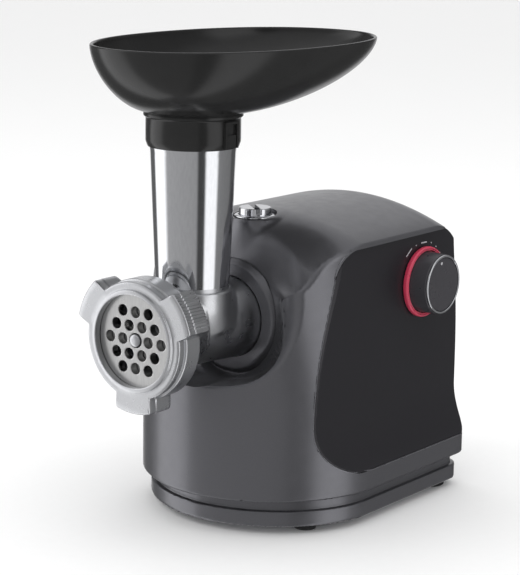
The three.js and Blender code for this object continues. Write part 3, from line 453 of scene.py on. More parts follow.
def ended(tree, geometry, material):
    """Closes a tree: real geometry from its instances, in one material."""
    real = add(tree, "GeometryNodeRealizeInstances", {"Geometry": geometry})
    painted = add(tree, "GeometryNodeSetMaterial", {"Geometry": real.outputs[0], "Material": material})
    add(tree, "NodeGroupOutput", {"Geometry": painted.outputs[0]})
    return tree


def grown(name, tree, values, source=None, crease=35):
    """Runs a tree once and returns its result as a plain mesh piece."""
    piece = new_object(name, source or bpy.data.meshes.new(name))
    modifier = piece.modifiers.new(tree.name, "NODES")
    modifier.node_group = tree
    for item in tree.interface.items_tree:
        if item.in_out == "INPUT" and item.name in values:
            modifier[item.identifier] = values[item.name]
    piece.update_tag()
    graph = bpy.context.evaluated_depsgraph_get()
    mesh = bpy.data.meshes.new_from_object(piece.evaluated_get(graph), depsgraph=graph)
    bpy.data.objects.remove(piece)
    mesh.name = name
    return new_object(name, cleaned(mesh, crease))


FLOAT, WHOLE, VECTOR = "NodeSocketFloat", "NodeSocketInt", "NodeSocketVector"


def bead_tree(material):
    """A round bead swept along a path of edges."""
    tree, given = new_tree("Bead along a path", {"Path": "NodeSocketGeometry", "Radius": FLOAT})
    path = add(tree, "GeometryNodeMeshToCurve", {"Mesh": given["Path"]})
    section = add(tree, "GeometryNodeCurvePrimitiveCircle", {"Resolution": 8, "Radius": given["Radius"]})
    swept = add(
        tree, "GeometryNodeCurveToMesh",
        {"Curve": path.outputs[0], "Profile Curve": section.outputs[0], "Fill Caps": True},
    )
    return ended(tree, swept.outputs[0], material)


def mark_tree(material):
    """Printed bars set on an arc, each along the arc."""
    tree, given = new_tree(
        "Marks on an arc",
        {"Count": WHOLE, "Radius": FLOAT, "Start": FLOAT, "Sweep": FLOAT, "Bar": VECTOR,
         "Centre": VECTOR},
    )
    arc = add(
        tree, "GeometryNodeCurveArc",
        {"Resolution": 32, "Radius": given["Radius"], "Start Angle": given["Start"],
         "Sweep Angle": given["Sweep"]},
    )
    points = add(
        tree, "GeometryNodeCurveToPoints", {"Curve": arc.outputs[0], "Count": given["Count"]}, mode="COUNT"
    )
    bar = add(tree, "GeometryNodeMeshCube", {"Size": given["Bar"]})
    set_out = add(
        tree, "GeometryNodeInstanceOnPoints",
        {"Points": points.outputs["Points"], "Instance": bar.outputs["Mesh"],
         "Rotation": points.outputs["Rotation"]},
    )
    stood = add(
        tree, "GeometryNodeTransform",
        {"Geometry": set_out.outputs[0], "Translation": given["Centre"],
         "Rotation": (math.pi / 2, 0, math.pi / 2)},
    )
    return ended(tree, stood.outputs[0], material)


def slat_tree(material):
    """Level bars one above another."""
    tree, given = new_tree(
        "Slats in a column", {"Count": WHOLE, "Pitch": VECTOR, "Lowest": VECTOR, "Bar": VECTOR}
    )
    line = add(
        tree, "GeometryNodeMeshLine",
        {"Count": given["Count"], "Start Location": given["Lowest"], "Offset": given["Pitch"]},
    )
    bar = add(tree, "GeometryNodeMeshCube", {"Size": given["Bar"]})
    column = add(
        tree, "GeometryNodeInstanceOnPoints",
        {"Points": line.outputs[0], "Instance": bar.outputs["Mesh"]},
    )
    return ended(tree, column.outputs[0], material)


# ------------------------------------------------------------------ materials

MATERIALS = {}


def surface(name, base, second, metallic, roughness, grain, relief, coat=0.0, stretch=(1, 1, 1),
            spread=0.08, **shader):
    """A material whose colour, gloss and relief vary with grains of a size in millimetres.

    base and second are its two linear colours, relief is the depth of the grain in millimetres,
    and stretch draws the grain out along the axes where it is small.
    """
    material = bpy.data.materials.new(name)
    material.use_nodes = True
    material.diffuse_color = base
    tree = material.node_tree
    principled = tree.nodes["Principled BSDF"]
    where = add(tree, "ShaderNodeTexCoord").outputs["Object"]
    drawn = add(tree, "ShaderNodeMapping", {"Vector": where, "Scale": stretch}).outputs[0]
    fine = add(
        tree, "ShaderNodeTexNoise", {"Vector": drawn, "Scale": 1 / (grain * MM), "Detail": 3.0}
    ).outputs["Fac"]
    broad = add(
        tree, "ShaderNodeTexNoise", {"Vector": drawn, "Scale": 1 / (grain * 14 * MM), "Detail": 2.0}
    ).outputs["Fac"]
    blend = add(
        tree, "ShaderNodeMapRange",
        {"Value": fine, "From Min": 0.35, "From Max": 0.65, "To Min": 0.0, "To Max": 0.5},
    ).outputs[0]
    tint = add(
        tree, "ShaderNodeMix", {"Factor": blend, "A": base, "B": second}, data_type="RGBA"
    )
    gloss = add(
        tree, "ShaderNodeMapRange",
        {"Value": broad, "From Min": 0.3, "From Max": 0.7, "To Min": max(0.02, roughness - spread),
         "To Max": min(1.0, roughness + spread)},
    ).outputs[0]
    bump = add(
        tree, "ShaderNodeBump", {"Height": fine, "Distance": relief * MM, "Strength": 1.0}
    ).outputs[0]
    tree.links.new(tint.outputs["Result"], principled.inputs["Base Color"])
    tree.links.new(gloss, principled.inputs["Roughness"])
    tree.links.new(bump, principled.inputs["Normal"])
    principled.inputs["Metallic"].default_value = metallic
    principled.inputs["Coat Weight"].default_value = coat
    for key, value in shader.items():
        principled.inputs[key.replace("_", " ")].default_value = value
    MATERIALS[name] = material
    return material


def tinted(colour_, factor):
    """A linear colour made lighter or darker."""
    return [min(1.0, part * factor) for part in colour_[:3]] + [1.0]


def make_materials():
    hues = colours()
    shell, panel, tray = list(hues.shell), list(hues.panel), list(hues.tray)
    ring = list(hues.knob_ring)
    # Metallic lacquer sprayed on ABS: aluminium flake in a clear binder gives broad soft glints.
    # Flake is near 0.05 mm across and is drawn at 0.5 mm.
    surface("graphite_lacquer_on_abs", shell, tinted(shell, 1.16), 0.72, 0.32, 0.5, 0.003,
            coat=0.12, spread=0.03)
    # ABS moulded in a fine-etched tool: an even dark satin with a close, shallow grain.
    surface("satin_moulded_abs", panel, tinted(panel, 1.2), 0.3, 0.36, 0.4, 0.003, spread=0.02)
    # ABS from a polished tool: near mirror gloss that only wavers a little.
    surface("gloss_moulded_abs", tray, tinted(tray, 1.15), 0.0, 0.2, 9.0, 0.004, spread=0.03,
            Specular_IOR_Level=0.3)
    # Matt ABS with spark-etched grain, which scatters light into a flat dark grey.
    surface("matt_moulded_abs", linear("303033"), linear("3a3a3d"), 0.0, 0.52, 0.6, 0.012)
    # Knob cap in dark lacquered ABS, smoother than the panel behind it.
    surface("lacquered_knob_abs", linear("424145"), linear("4a494d"), 0.25, 0.34, 0.5, 0.003)
    # Translucent red ABS moulded glossy: deep colour with a pale edge where light gathers.
    surface("red_moulded_abs", ring, tinted(ring, 1.2), 0.0, 0.32, 0.6, 0.003, coat=0.3)
    # Aluminium tumbled and buffed: long soft polishing lines run round the casting.
    surface("buffed_cast_aluminium", linear("dcdddf"), linear("d2d3d6"), 1.0, 0.11, 1.2, 0.0012,
            stretch=(1, 1, 0.25), spread=0.02)
    # Aluminium blasted with fine beads: small dimples break the reflection into a pale haze.
    surface("blasted_cast_aluminium", linear("cccdcf"), linear("c0c1c4"), 1.0, 0.3, 0.7, 0.012,
            spread=0.04)
    # Carbon steel ground flat: short scratches one way and a slightly warm grey.
    surface("ground_steel", linear("c2c2c1"), linear("aeaeae"), 1.0, 0.3, 0.9, 0.004,
            stretch=(1, 1, 0.12), spread=0.08)
    # Chrome plate over polished steel.
    surface("chrome_plate", linear("dcdde0"), linear("d2d3d7"), 1.0, 0.09, 4.0, 0.002, spread=0.03)
    # Zinc plate: pale grey with a faint crystal mottle.
    surface("zinc_plate", linear("a7a9ad"), linear("94979c"), 1.0, 0.42, 1.6, 0.006)
    # Nitrile rubber from a matt tool.
    surface("black_rubber", linear("1c1c1d"), linear("252526"), 0.0, 0.82, 0.7, 0.02)
    # Natural nylon 66: milky, waxy and slightly see-through.
    surface("natural_nylon", linear("e4e0d2"), linear("d8d3c2"), 0.0, 0.45, 1.5, 0.006)
    # Enamelled copper wire and commutator bars.
    surface("enamelled_copper", linear("a85a2c"), linear("8a4520"), 0.85, 0.34, 0.6, 0.03,
            stretch=(1, 0.1, 1))
    # Turned brass.
    surface("turned_brass", linear("b8944a"), linear("a5823c"), 1.0, 0.32, 0.8, 0.005)
    # Pressed carbon: dull, with a graphite glint.
    surface("pressed_carbon", linear("2a2a2b"), linear("3a3a3c"), 0.2, 0.7, 0.5, 0.02)
    # Glass-epoxy board under green solder mask.
    surface("solder_mask", linear("2d6a42"), linear("25593a"), 0.0, 0.4, 1.2, 0.01)
    # Silver-grey ink, pad printed: thin and matt.
    surface("printed_grey_ink", linear("b9b9bd"), linear("a6a6aa"), 0.0, 0.5, 0.5, 0.002)
    # Painted highlight: a pale, half-metallic bead that stands in for the light caught along the edge of
    # the shell's step round each side panel.
    surface("seam_edge", linear("8d8d92"), linear("9a9aa0"), 0.8, 0.28, 1.0, 0.002)
    # Studio floor: matt painted board.
    surface("painted_board", list(hues.floor), tinted(list(hues.floor), 0.985), 0.0, 0.9, 6.0, 0.02)


# The finish that each of the record's slots gets on the CAD nodes that stay.
SLOT_FINISH = {
    "shell_graphite": "graphite_lacquer_on_abs",
    "panel_dark": "satin_moulded_abs",
    "tray_black": "gloss_moulded_abs",
    "trim_dark": "matt_moulded_abs",
    "ring_red": "red_moulded_abs",
    "head_polished": "buffed_cast_aluminium",
    "cast_metal": "blasted_cast_aluminium",
    "steel": "ground_steel",
    "chrome": "chrome_plate",
    "zinc": "zinc_plate",
    "foot_rubber": "black_rubber",
    "nylon": "natural_nylon",
    "copper": "enamelled_copper",
    "brass": "turned_brass",
    "carbon": "pressed_carbon",
    "circuit": "solder_mask",
}


class PaintInnerParts(bpy.types.Operator):
    """Makes the materials and gives them to the CAD nodes"""

    bl_idname = "grinder.inner_parts"
    bl_label = "Inner parts"

    def execute(self, context):
        make_materials()
        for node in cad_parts.values():
            for holder in node.material_slots:
                slot = holder.material.name.split(".")[0]
                holder.material = MATERIALS[SLOT_FINISH[slot]]
        return {"FINISHED"}


# ------------------------------------------------------------------ housing


def nose_plan(x, y, half, front, rear, centre, corner):
    """Field of a plan outline with a round nose, straight sides and rounded rear corners."""
    across = np.abs(x)
    ahead = np.maximum(centre - y, 0) / (centre - front)
    wide = across / half
    size = np.maximum(wide**NOSE_POWER + ahead**NOSE_POWER, 1e-6) ** (1 / NOSE_POWER)
    fall = size ** (1 - NOSE_POWER)
    steep = np.hypot(fall * wide ** (NOSE_POWER - 1) / half,
                     fall * ahead ** (NOSE_POWER - 1) / (centre - front))
    nose = (size - 1) / np.maximum(steep, 0.5 / half)
    out_x, out_y = across - (half - corner), y - (rear - corner)
    tail = (np.hypot(np.maximum(out_x, 0), np.maximum(out_y, 0))
            + np.minimum(np.maximum(out_x, out_y), 0) - corner)
    return np.where(y < centre, nose, tail)


def under_roof(x, y, z):
    """Field of everything under the arched roof, whose two ends round down."""
    raised = z + x**2 / (2 * ROOF_RADIUS)
    ends = []
    for way, (start, reach, drop) in ((-1, ROOF_FRONT), (1, ROOF_REAR)):
        out = np.maximum(way * (y - start), 0) / reach
        up = (raised - (CREST - drop)) / drop
        size = np.maximum(np.hypot(out, np.maximum(up, 0)), 1e-6)
        steep = np.hypot(out / reach, np.maximum(up, 0) / drop) / size
        round_end = (size - 1) / np.maximum(steep, 1e-3)
        level = np.where(out > 0, round_end, raised - CREST)
        ends.append(np.where((up < 0) & (out > 0), (out - 1) * reach, level))
    ends[0] = either(ends[0], raised - (CREST - ROOF_FRONT[2]), 12.0)
    return np.maximum(*ends) / np.sqrt(1 + (x / ROOF_RADIUS) ** 2)


def scoop(x, y, z, fillet):
    """Field of the hollow in front of the scoop wall, open upwards."""
    t = np.clip((y - 20) / (SCOOP_FACE - 20), -0.5, 1.2)
    half = 94 - 50 * t
    depth = 43.5 + 4.6 * t
    roundness = 3.2 - 0.8 * np.clip(t, 0, 1)
    wide, down = np.abs(x) / half, np.maximum(10 - z, 0) / depth
    size = np.maximum(wide**roundness + down**roundness, 1e-6) ** (1 / roundness)
    fall = size ** (1 - roundness)
    steep = np.hypot(fall * wide ** (roundness - 1) / half, fall * down ** (roundness - 1) / depth)
    walls = (size - 1) / np.maximum(steep, 0.5 / half) / 1.12
    return both(walls, y - SCOOP_FACE, fillet)


def panel_outline(y, z, trim):
    """Field of a side panel's outline seen from the side, without its rear edge."""
    corner = both(panel_front(z) + 0.6 + trim - y, z - PANEL_TOP + trim, PANEL_CORNER - trim)
    return np.maximum(corner, FLARE_FOOT + trim - z)


def shell_solid(x, y, z):
    return nose_plan(x, y, shell_half(z), NOSE_FRONT, SHELL_REAR, NOSE_CENTRE, 14)


def shell_field(x, y, z):
    edge = sizes().shell_edge / MM
    plan = shell_solid(x, y, z)
    roof = under_roof(x, y, z)
    body = both(plan, roof, edge)
    room = scoop(x, y, z, sizes().scoop_fillet / MM)
    rise = np.clip((z + 34) / 52, 0, 1)
    lip = sizes().shelf_edge / MM
    lip = lip + (sizes().shoulder / MM - lip) * rise * rise * (3 - 2 * rise)
    outer = both(body, -room, lip)
    # pedestal, seat and well of the release button, and the round seat of the head socket
    from_button = np.hypot(x, y - BUTTON_Y)
    around = np.hypot(x, z)
    pedestal = both(from_button - 15.4, z - BUTTON_SEAT, 0.8)
    outer = either(outer, both(pedestal, 40 - z), 5.0)
    outer = np.maximum(outer, -np.maximum(around - FLANGE_RADIUS - 0.7, y - SOCKET_SEAT))
    shell = both(outer, SHELL_BOTTOM - z, edge)
    shell = np.maximum(shell, -np.maximum(from_button - 14.0, BUTTON_SEAT - z))
    shell = np.maximum(shell, -np.maximum(from_button - BUTTON_RADIUS - 0.5, BUTTON_WELL - z))
    # recess of the side panels, and the room inside
    recess_face = panel_face(z, PANEL_THICKNESS + PANEL_ROOM)
    recess = np.maximum(recess_face - np.abs(x), panel_outline(y, z, 0.0))
    shell = np.maximum(shell, -recess)
    # the brow over the scoop and round the button is left solid
    room_inside = np.maximum.reduce([
        outer + 2.8, np.abs(x) - panel_face(z, PANEL_THICKNESS + PANEL_ROOM + 1.9),
        np.minimum(13.7 - from_button, z - 42), np.minimum(16.8 - from_button, z - 57.0),
        np.minimum(BUTTON_Y + 6 - y, z - 18),
    ])
    shell = np.maximum(shell, -room_inside)
    for boss_x, boss_y in BOSSES:
        out = np.hypot(x - boss_x, y - boss_y)
        shell = np.minimum(shell, np.maximum(out - 5, between(z, BOSS_BOTTOM, BOSS_BOTTOM + 15)))
        bore = np.maximum(out - 2, between(z, BOSS_BOTTOM - 1, BOSS_BOTTOM + 12))
        shell = np.maximum(shell, -bore)
    # holes for the head socket, the knob's stem, the rear vent and the cord gland
    shell = np.maximum(shell, -np.maximum(around - SOCKET_NECK - GAP, between(y, 80, 105)))
    stem = np.hypot(y - KNOB_Y, z - KNOB_Z)
    shell = np.maximum(shell, -np.maximum(stem - 4, 55 - x))
    vent = np.maximum.reduce([
        np.abs(x) - VENT_HALF, between(z, VENT_BOTTOM, VENT_TOP), SHELL_REAR - 8 - y])
    shell = np.maximum(shell, -vent)
    gland = np.hypot(x - GLAND_X, z - GLAND_Z) - GLAND_RADIUS - GAP
    return np.maximum(shell, -np.maximum(gland, SHELL_REAR - 10 - y))


class BuildShell(bpy.types.Operator):
    """Moulded shell with its arched roof, the scoop behind the head and the panel recesses"""

    bl_idname = "grinder.shell"
    bl_label = "Shell"

    def execute(self, context):
        shell = contoured("housing_shell", shell_field, (-87, 47, -111), (87, 253, 68), 1.75,
                          MATERIALS["graphite_lacquer_on_abs"])
        kept(shell, "housing", "shell_graphite", "main_shell")
        return {"FINISHED"}


def panel_field(x, y, z):
    slab = between(x, panel_face(z, PANEL_THICKNESS), panel_face(z))
    panel = np.maximum(slab, panel_outline(y, z, GAP))
    panel = np.maximum(panel, shell_solid(x, y, z) + 0.1)
    return np.maximum(panel, under_roof(x, y, z) + GAP)


def nose_half(y, z):
    """Half the shell's width at a station and height."""
    ahead = np.clip((NOSE_CENTRE - y) / (NOSE_CENTRE - NOSE_FRONT), 0, 1)
    return shell_half(z) * (1 - ahead**NOSE_POWER) ** (1 / NOSE_POWER)


def panel_path():
    """Line along the seam of the right side panel, from the rear foot forwards and back."""
    foot = [(y, FLARE_FOOT) for y in np.linspace(236, NOSE_CENTRE, 60)]
    front = [(float(panel_front(z)) + 0.6, z)
             for z in np.linspace(FLARE_FOOT, PANEL_TOP - PANEL_CORNER, 90)[1:]]
    start_y, start_z = front[-1]
    corner = [(start_y + PANEL_CORNER * (1 - math.cos(a)), start_z + PANEL_CORNER * math.sin(a))
              for a in np.linspace(0, math.pi / 2, 24)[1:]]
    top = [(y, PANEL_TOP) for y in np.linspace(corner[-1][0], 228.5, 60)[1:]]
    return [(float(min(panel_face(z), nose_half(y, z))), y, z)
            for y, z in foot + front + corner + top]


class BuildPanels(bpy.types.Operator):
    """The two satin side panels, and a pale bead round each that paints the highlight along the seam"""

    bl_idname = "grinder.panels"
    bl_label = "Side panels"

    def execute(self, context):
        satin = MATERIALS["satin_moulded_abs"]

        def right(x, y, z):
            stem = np.hypot(y - KNOB_Y, z - KNOB_Z) - 4
            return np.maximum(panel_field(x, y, z), -stem)

        def left(x, y, z):
            return panel_field(-x, y, z)

        low, high = (64, 60, -98), (86, 252, 48)
        panel = contoured("side_panel_right_skin", right, low, high, 0.95, satin)
        kept(panel, "housing", "panel_dark", "side_panel_right")
        low, high = (-86, 60, -98), (-64, 252, 48)
        panel = contoured("side_panel_left_skin", left, low, high, 0.95, satin)
        kept(panel, "housing", "panel_dark", "side_panel_left")
        tree = bead_tree(MATERIALS["seam_edge"])
        # a pale bead along each seam is a painted highlight, not a part of the shell
        for side, sign in (("right", 1), ("left", -1)):
            path = bpy.data.meshes.new("path")
            points = placed([(sign * x, y, z) for x, y, z in panel_path()])
            path.from_pydata(points, [(i, i + 1) for i in range(len(points) - 1)], [])
            bead = grown("panel_seam_highlight_" + side, tree, {"Radius": sizes().seam_bead}, path)
            kept(bead, "housing", "shell_graphite")
        return {"FINISHED"}


def base_field(x, y, z):
    lower = nose_plan(x, y, 80, 58, 247, NOSE_CENTRE, 16)
    upper = lower + 3
    step = BASE_BOTTOM + 10
    tiers = either(both(lower, z - step, 1.2), both(upper, z - (SHELL_BOTTOM + 4)), 0.8)
    tub = both(tiers, BASE_BOTTOM - z, 1.6)
    tub = np.maximum(tub, -np.maximum(lower + 6, BASE_BOTTOM + 3 - z))
    for boss_x, boss_y in BOSSES:
        out = np.hypot(x - boss_x, y - boss_y)
        tub = np.minimum(tub, np.maximum(out - 6, between(z, BASE_BOTTOM, BOSS_BOTTOM - GAP)))
        tub = np.maximum(tub, -(out - 2.1))
        tub = np.maximum(tub, -np.maximum(out - 4, z - BASE_BOTTOM - 12))
    for _, foot_x, foot_y, _, _ in FEET:
        tub = np.maximum(tub, -(np.hypot(np.abs(x) - foot_x, y - foot_y) - 3.9))
    return tub


class BuildBase(bpy.types.Operator):
    """Stepped base tub and its four rubber feet"""

    bl_idname = "grinder.base"
    bl_label = "Base and feet"

    def execute(self, context):
        base = contoured("base_tub", base_field, (-84, 54, -129), (84, 251, -101), 1.5,
                         MATERIALS["graphite_lacquer_on_abs"])
        kept(base, "housing", "shell_graphite", "base_plate")
        floor = BASE_BOTTOM - 5
        for side, sign in (("right", 1), ("left", -1)):
            for end, x, y, top, tread in FEET:
                profile = [(0, floor, 0), (tread, floor, 0.6), (tread, floor + 1.6, 0.8),
                           (top, floor + 3.2, 0.8), (top, BASE_BOTTOM - GAP, 0.3),
                           (3.5, BASE_BOTTOM - GAP, 0), (3.5, BASE_BOTTOM + 3.4, 0.2),
                           (5, BASE_BOTTOM + 3.4, 0.3), (3.4, BASE_BOTTOM + 6, 0.8),
                           (0, BASE_BOTTOM + 6, 0)]
                foot = meshed(f"{end}_foot_{side}_rubber", [lathe("z", profile, (sign * x, y), 48)],
                              MATERIALS["black_rubber"])
                kept(foot, "housing", "foot_rubber", f"{end}_foot_{side}")
        return {"FINISHED"}


def bar(x0, x1, y0, y1, z0, z1):
    """A plain bar between corners, as points and faces."""
    low = [(x0, y0, z0), (x1, y0, z0), (x1, y0, z1), (x0, y0, z1)]
    return skin([low, [(x, y1, z) for x, _, z in low]])


class BuildRear(bpy.types.Operator):
    """Slatted vent in the rear wall and the rubber gland where a cord would leave"""

    bl_idname = "grinder.rear"
    bl_label = "Rear vent"

    def execute(self, context):
        matt = MATERIALS["matt_moulded_abs"]
        front, back = SHELL_REAR - 3.5, SHELL_REAR - 0.5
        side, low, high = VENT_HALF - GAP, VENT_BOTTOM + GAP, VENT_TOP - GAP
        rim = [bar(-side, -32, front, back, low, high), bar(32, side, front, back, low, high),
               bar(-32, 32, front, back, low, -76), bar(-32, 32, front, back, 13, high)]
        border = meshed("rear_vent_rim", rim, matt)
        count = sizes().slat_count
        pitch = 12 * 7 / count
        slats = grown(
            "rear_vent_slats", slat_tree(matt),
            {"Count": count, "Pitch": (0, 0, pitch * MM),
             "Lowest": tuple(placed((0, (front + back) / 2, -67.5))),
             "Bar": (64.2 * MM, 3 * MM, (pitch - 5) * MM)},
        )
        for piece in (border, slats):
            bevel = piece.modifiers.new("edges", "BEVEL")
            bevel.width, bevel.segments = 0.5 * MM, 2
            piece.data = bpy.data.meshes.new_from_object(
                piece.evaluated_get(bpy.context.evaluated_depsgraph_get()))
            piece.modifiers.clear()
            piece.data.shade_smooth()
            piece.data.set_sharp_from_angle(angle=math.radians(50))
        kept(border, "housing", "trim_dark", "rear_cover")
        kept(slats, "housing", "trim_dark")
        profile = [(4, SHELL_REAR - 6, 0), (GLAND_RADIUS, SHELL_REAR - 6, 0),
                   (GLAND_RADIUS, SHELL_REAR + GAP, 0), (9, SHELL_REAR + GAP, 0.3),
                   (8.4, SHELL_REAR + 2, 0.5), (4, SHELL_REAR + 2, 0.5)]
        gland = meshed("cord_gland_rubber", [lathe("y", profile, (GLAND_X, GLAND_Z), 48)],
                       MATERIALS["black_rubber"])
        kept(gland, "housing", "foot_rubber", "cord_gland")
        return {"FINISHED"}


# ------------------------------------------------------------------ controls


class BuildButton(bpy.types.Operator):
    """Chromed release button with its finger slot, and the bezel round it"""

    bl_idname = "grinder.button"
    bl_label = "Release button"

    def execute(self, context):
        chrome = MATERIALS["chrome_plate"]
        turn = math.radians(-40)

        def cap(x, y, z):
            out = np.hypot(x, y - BUTTON_Y)
            body = both(both(out - BUTTON_RADIUS, z - BUTTON_TOP, 0.7), BUTTON_TOP - 10.5 - z)
            across = -x * math.sin(turn) + (y - BUTTON_Y) * math.cos(turn)
            groove = np.maximum(np.abs(across) - 1.9, BUTTON_TOP - 3.6 - z)
            return np.minimum(both(body, -groove, 0.35),
                              np.maximum(out - 3.5, between(z, STEM_BOTTOM, BUTTON_TOP - 9)))

        button = contoured("button_cap", cap, (-12, BUTTON_Y - 12, 34), (12, BUTTON_Y + 12, 68),
                           0.48, chrome)
        kept(button, "release_button", "chrome", "release_button")
        inner, outer, seat = BUTTON_RADIUS + 0.5, BUTTON_RADIUS + 3, BUTTON_SEAT
        profile = [(inner, seat + GAP, 0), (outer, seat + GAP, 0.2), (outer, seat + 1.1, 0.4),
                   (outer - 1.1, seat + 1.7, 0.6), (inner, seat + 1.7, 0.3)]
        bezel = meshed("button_bezel_ring", [lathe("z", profile, (0, BUTTON_Y))], chrome)
        kept(bezel, "housing", "chrome", "button_bezel")
        return {"FINISHED"}


class BuildKnob(bpy.types.Operator):
    """Control knob with its bright rim, red ring, pointer dot and the marks above it"""

    bl_idname = "grinder.knob"
    bl_label = "Knob"

    def execute(self, context):
        centre = (KNOB_Y, KNOB_Z)
        face = PANEL_FACE + GAP
        base = face + 1.6
        top = base + 15
        ring = [(4, face, 0), (22.8, face, 0), (23.25, face + 0.6, 0.4), (23.25, PANEL_FACE + 3.1, 0.5),
                (22.5, PANEL_FACE + 3.8, 0.5), (21.9, PANEL_FACE + 3.8, 0.2),
                (21.7, PANEL_FACE + 3.3, 0.2), (21.2, PANEL_FACE + 3.3, 0.2),
                (20.8, PANEL_FACE + 3.7, 0.2), (20.7, base - 0.5, 0.1), (4, base - 0.5, 0)]
        piece = meshed("knob_ring_red", [lathe("x", ring, centre)], MATERIALS["red_moulded_abs"])
        kept(piece, "housing", "ring_red", "knob_ring")
        body = [(0, PANEL_FACE - 15, 0), (3.1, PANEL_FACE - 15, 0), (3.1, base + 6, 0.3),
                (17.5, base + 6, 0), (17.5, base, 0), (KNOB_RADIUS, base, 0.4),
                (KNOB_RADIUS, base + 1.5, 1), (19.5, top - 2, 0.3), (19.0, top - 1.6, 0),
                (17.4, top - 1.6, 0), (17.4, top - 0.6, 0.2), (16.4, top - 0.5, 0.4),
                (9, top - 1.15, 5), (0, top - 1.3, 0)]
        knob = meshed("knob_body", [lathe("x", body, centre, 128)], MATERIALS["lacquered_knob_abs"])
        kept(knob, "knob", "trim_dark", "knob")
        rim = [(17.8, top - 1, 0), (19.3, top - 1, 0.2), (19.1, top - 0.2, 0.4), (18.7, top, 0.3),
               (18.0, top, 0.3), (17.8, top - 0.3, 0.1)]
        trim = meshed("knob_rim", [lathe("x", rim, centre, 128)], MATERIALS["chrome_plate"])
        kept(trim, "knob", "chrome", "knob_trim")
        dot = [(0, top - 1.2, 0), (1.1, top - 1.2, 0), (1.1, top - 0.55, 0.35), (0, top - 0.45, 0)]
        lean, reach = math.radians(9.6), 14.4
        place = (KNOB_Y - reach * math.sin(lean), KNOB_Z + reach * math.cos(lean))
        pointer = meshed("knob_pointer", [lathe("x", dot, place, 24)], MATERIALS["printed_grey_ink"])
        kept(pointer, "knob", "chrome")
        tree = mark_tree(MATERIALS["printed_grey_ink"])
        size = sizes().mark_size
        heart = tuple(placed((PANEL_FACE + 0.03, KNOB_Y, KNOB_Z)))
        # angle of the first mark from straight up towards the rear, sweep, count and bar length
        rows = (("off_line", 26.9, -37.5, 0, 1, 7.5), ("reverse_line", 25.6, 2.0, 0, 1, 6.5),
                ("first_dot", 26.2, -18.5, 0, 1, 0.9), ("speed_dots", 26.0, 21.5, 30, 3, 0.9))
        for name, radius, start, sweep, count, bar_length in rows:
            begin = math.radians(90 - start - sweep)
            mark = grown(
                "dial_" + name, tree,
                {"Count": count, "Radius": radius * MM, "Start": begin,
                 "Sweep": math.radians(max(sweep, 0.01)), "Bar": (size, 0.1 * MM, bar_length * MM),
                 "Centre": heart},
            )
            kept(mark, "housing", "chrome")
        return {"FINISHED"}


# ------------------------------------------------------------------ grinding head


def sector(x, z, middle_angle, width):
    """Field, in degrees scaled to millimetres, of a wedge about the axis."""
    off = (np.arctan2(z, x) - middle_angle + math.pi) % (2 * math.pi) - math.pi
    return (np.abs(off) - width / 2) * 28


def socket_field(x, y, z):
    around = np.hypot(x, z)
    seat = SOCKET_SEAT - GAP
    cone = around - np.interp(y, [SOCKET_FACE, seat], [FLANGE_RADIUS - 3.5, FLANGE_RADIUS])
    flange = both(cone, between(y, SOCKET_FACE, seat), 0.6)
    neck = np.maximum(around - SOCKET_NECK, between(y, SOCKET_FACE, SOCKET_FACE + 21))
    socket = np.maximum(np.minimum(flange, neck), SOCKET_BORE - around)
    groove = np.maximum(around - GROOVE_RADIUS, between(y, GROOVE_FROM, GROOVE_TO))
    socket = np.maximum(socket, -groove)
    for angle in (0, math.pi):
        entry = np.maximum(sector(x, z, angle - math.pi / 4, 0.62),
                           between(y, SOCKET_FACE + 2.6, GROOVE_FROM + 1))
        socket = np.maximum(socket, -np.maximum(entry, around - GROOVE_RADIUS))
    return socket


class BuildSocket(bpy.types.Operator):
    """Bayonet socket that holds the grinding head"""

    bl_idname = "grinder.socket"
    bl_label = "Head socket"

    def execute(self, context):
        socket = contoured("head_socket_ring", socket_field, (-40, 87, -40), (40, 112, 40), 1.0,
                           MATERIALS["graphite_lacquer_on_abs"])
        kept(socket, "housing", "shell_graphite", "head_socket")
        return {"FINISHED"}


def casting_field(x, y, z):
    around = np.hypot(x, z)
    barrel = np.maximum(around - np.interp(y, [40, 62, 84], [24, 24.4, 26.0]), between(y, 8, 97))
    cup = both(around - CUP_RADIUS, between(y, 0.8, RING_REAR + GAP), 1.0)
    flare = np.maximum(around - np.interp(y, [14, 20, 27, 38], [33, 32.0, 27.2, 24]),
                       between(y, 12, 38))
    cast = either(either(barrel, flare, 3.0), cup, 0.8)
    spigot = both(around - SOCKET_BORE + 0.5, between(y, 96.4, HEAD_REAR), 0.8)
    cast = either(cast, spigot, 1.5)
    for angle in (0, math.pi):
        lug = np.maximum(sector(x, z, angle, 0.5), between(y, GROOVE_FROM + 0.5, GROOVE_TO - 0.5))
        cast = np.minimum(cast, np.maximum(lug, around - GROOVE_RADIUS + 0.5))
    from_tube = np.hypot(x, y - TUBE_Y)
    boss = both(from_tube - 25.0, between(z, 0, 24.5), 1.2)
    cast = either(cast, boss, 3.5)
    tube = from_tube - np.interp(z, [0, 26, 108, 112, 128], [22.8, 22.8, 26.1, 26.5, 26.5])
    cast = np.minimum(cast, both(tube, between(z, 0, TUBE_TOP), 0.8))
    bore = from_tube - np.interp(z, [0, 26, 112, 128], [19.8, 19.8, 23.5, 23.5])
    cast = np.maximum(cast, -np.maximum(bore, -1 - z))
    room = np.interp(y, [11, 14.5], [PLATE_RADIUS + GAP, BARREL_BORE])
    cast = np.maximum(cast, -np.maximum(around - room, y - 94))
    cast = np.maximum(cast, -np.maximum(around - BARREL_BORE, 98 - y))
    return np.maximum(cast, -np.maximum(around - 11.1, between(y, 90, 100)))


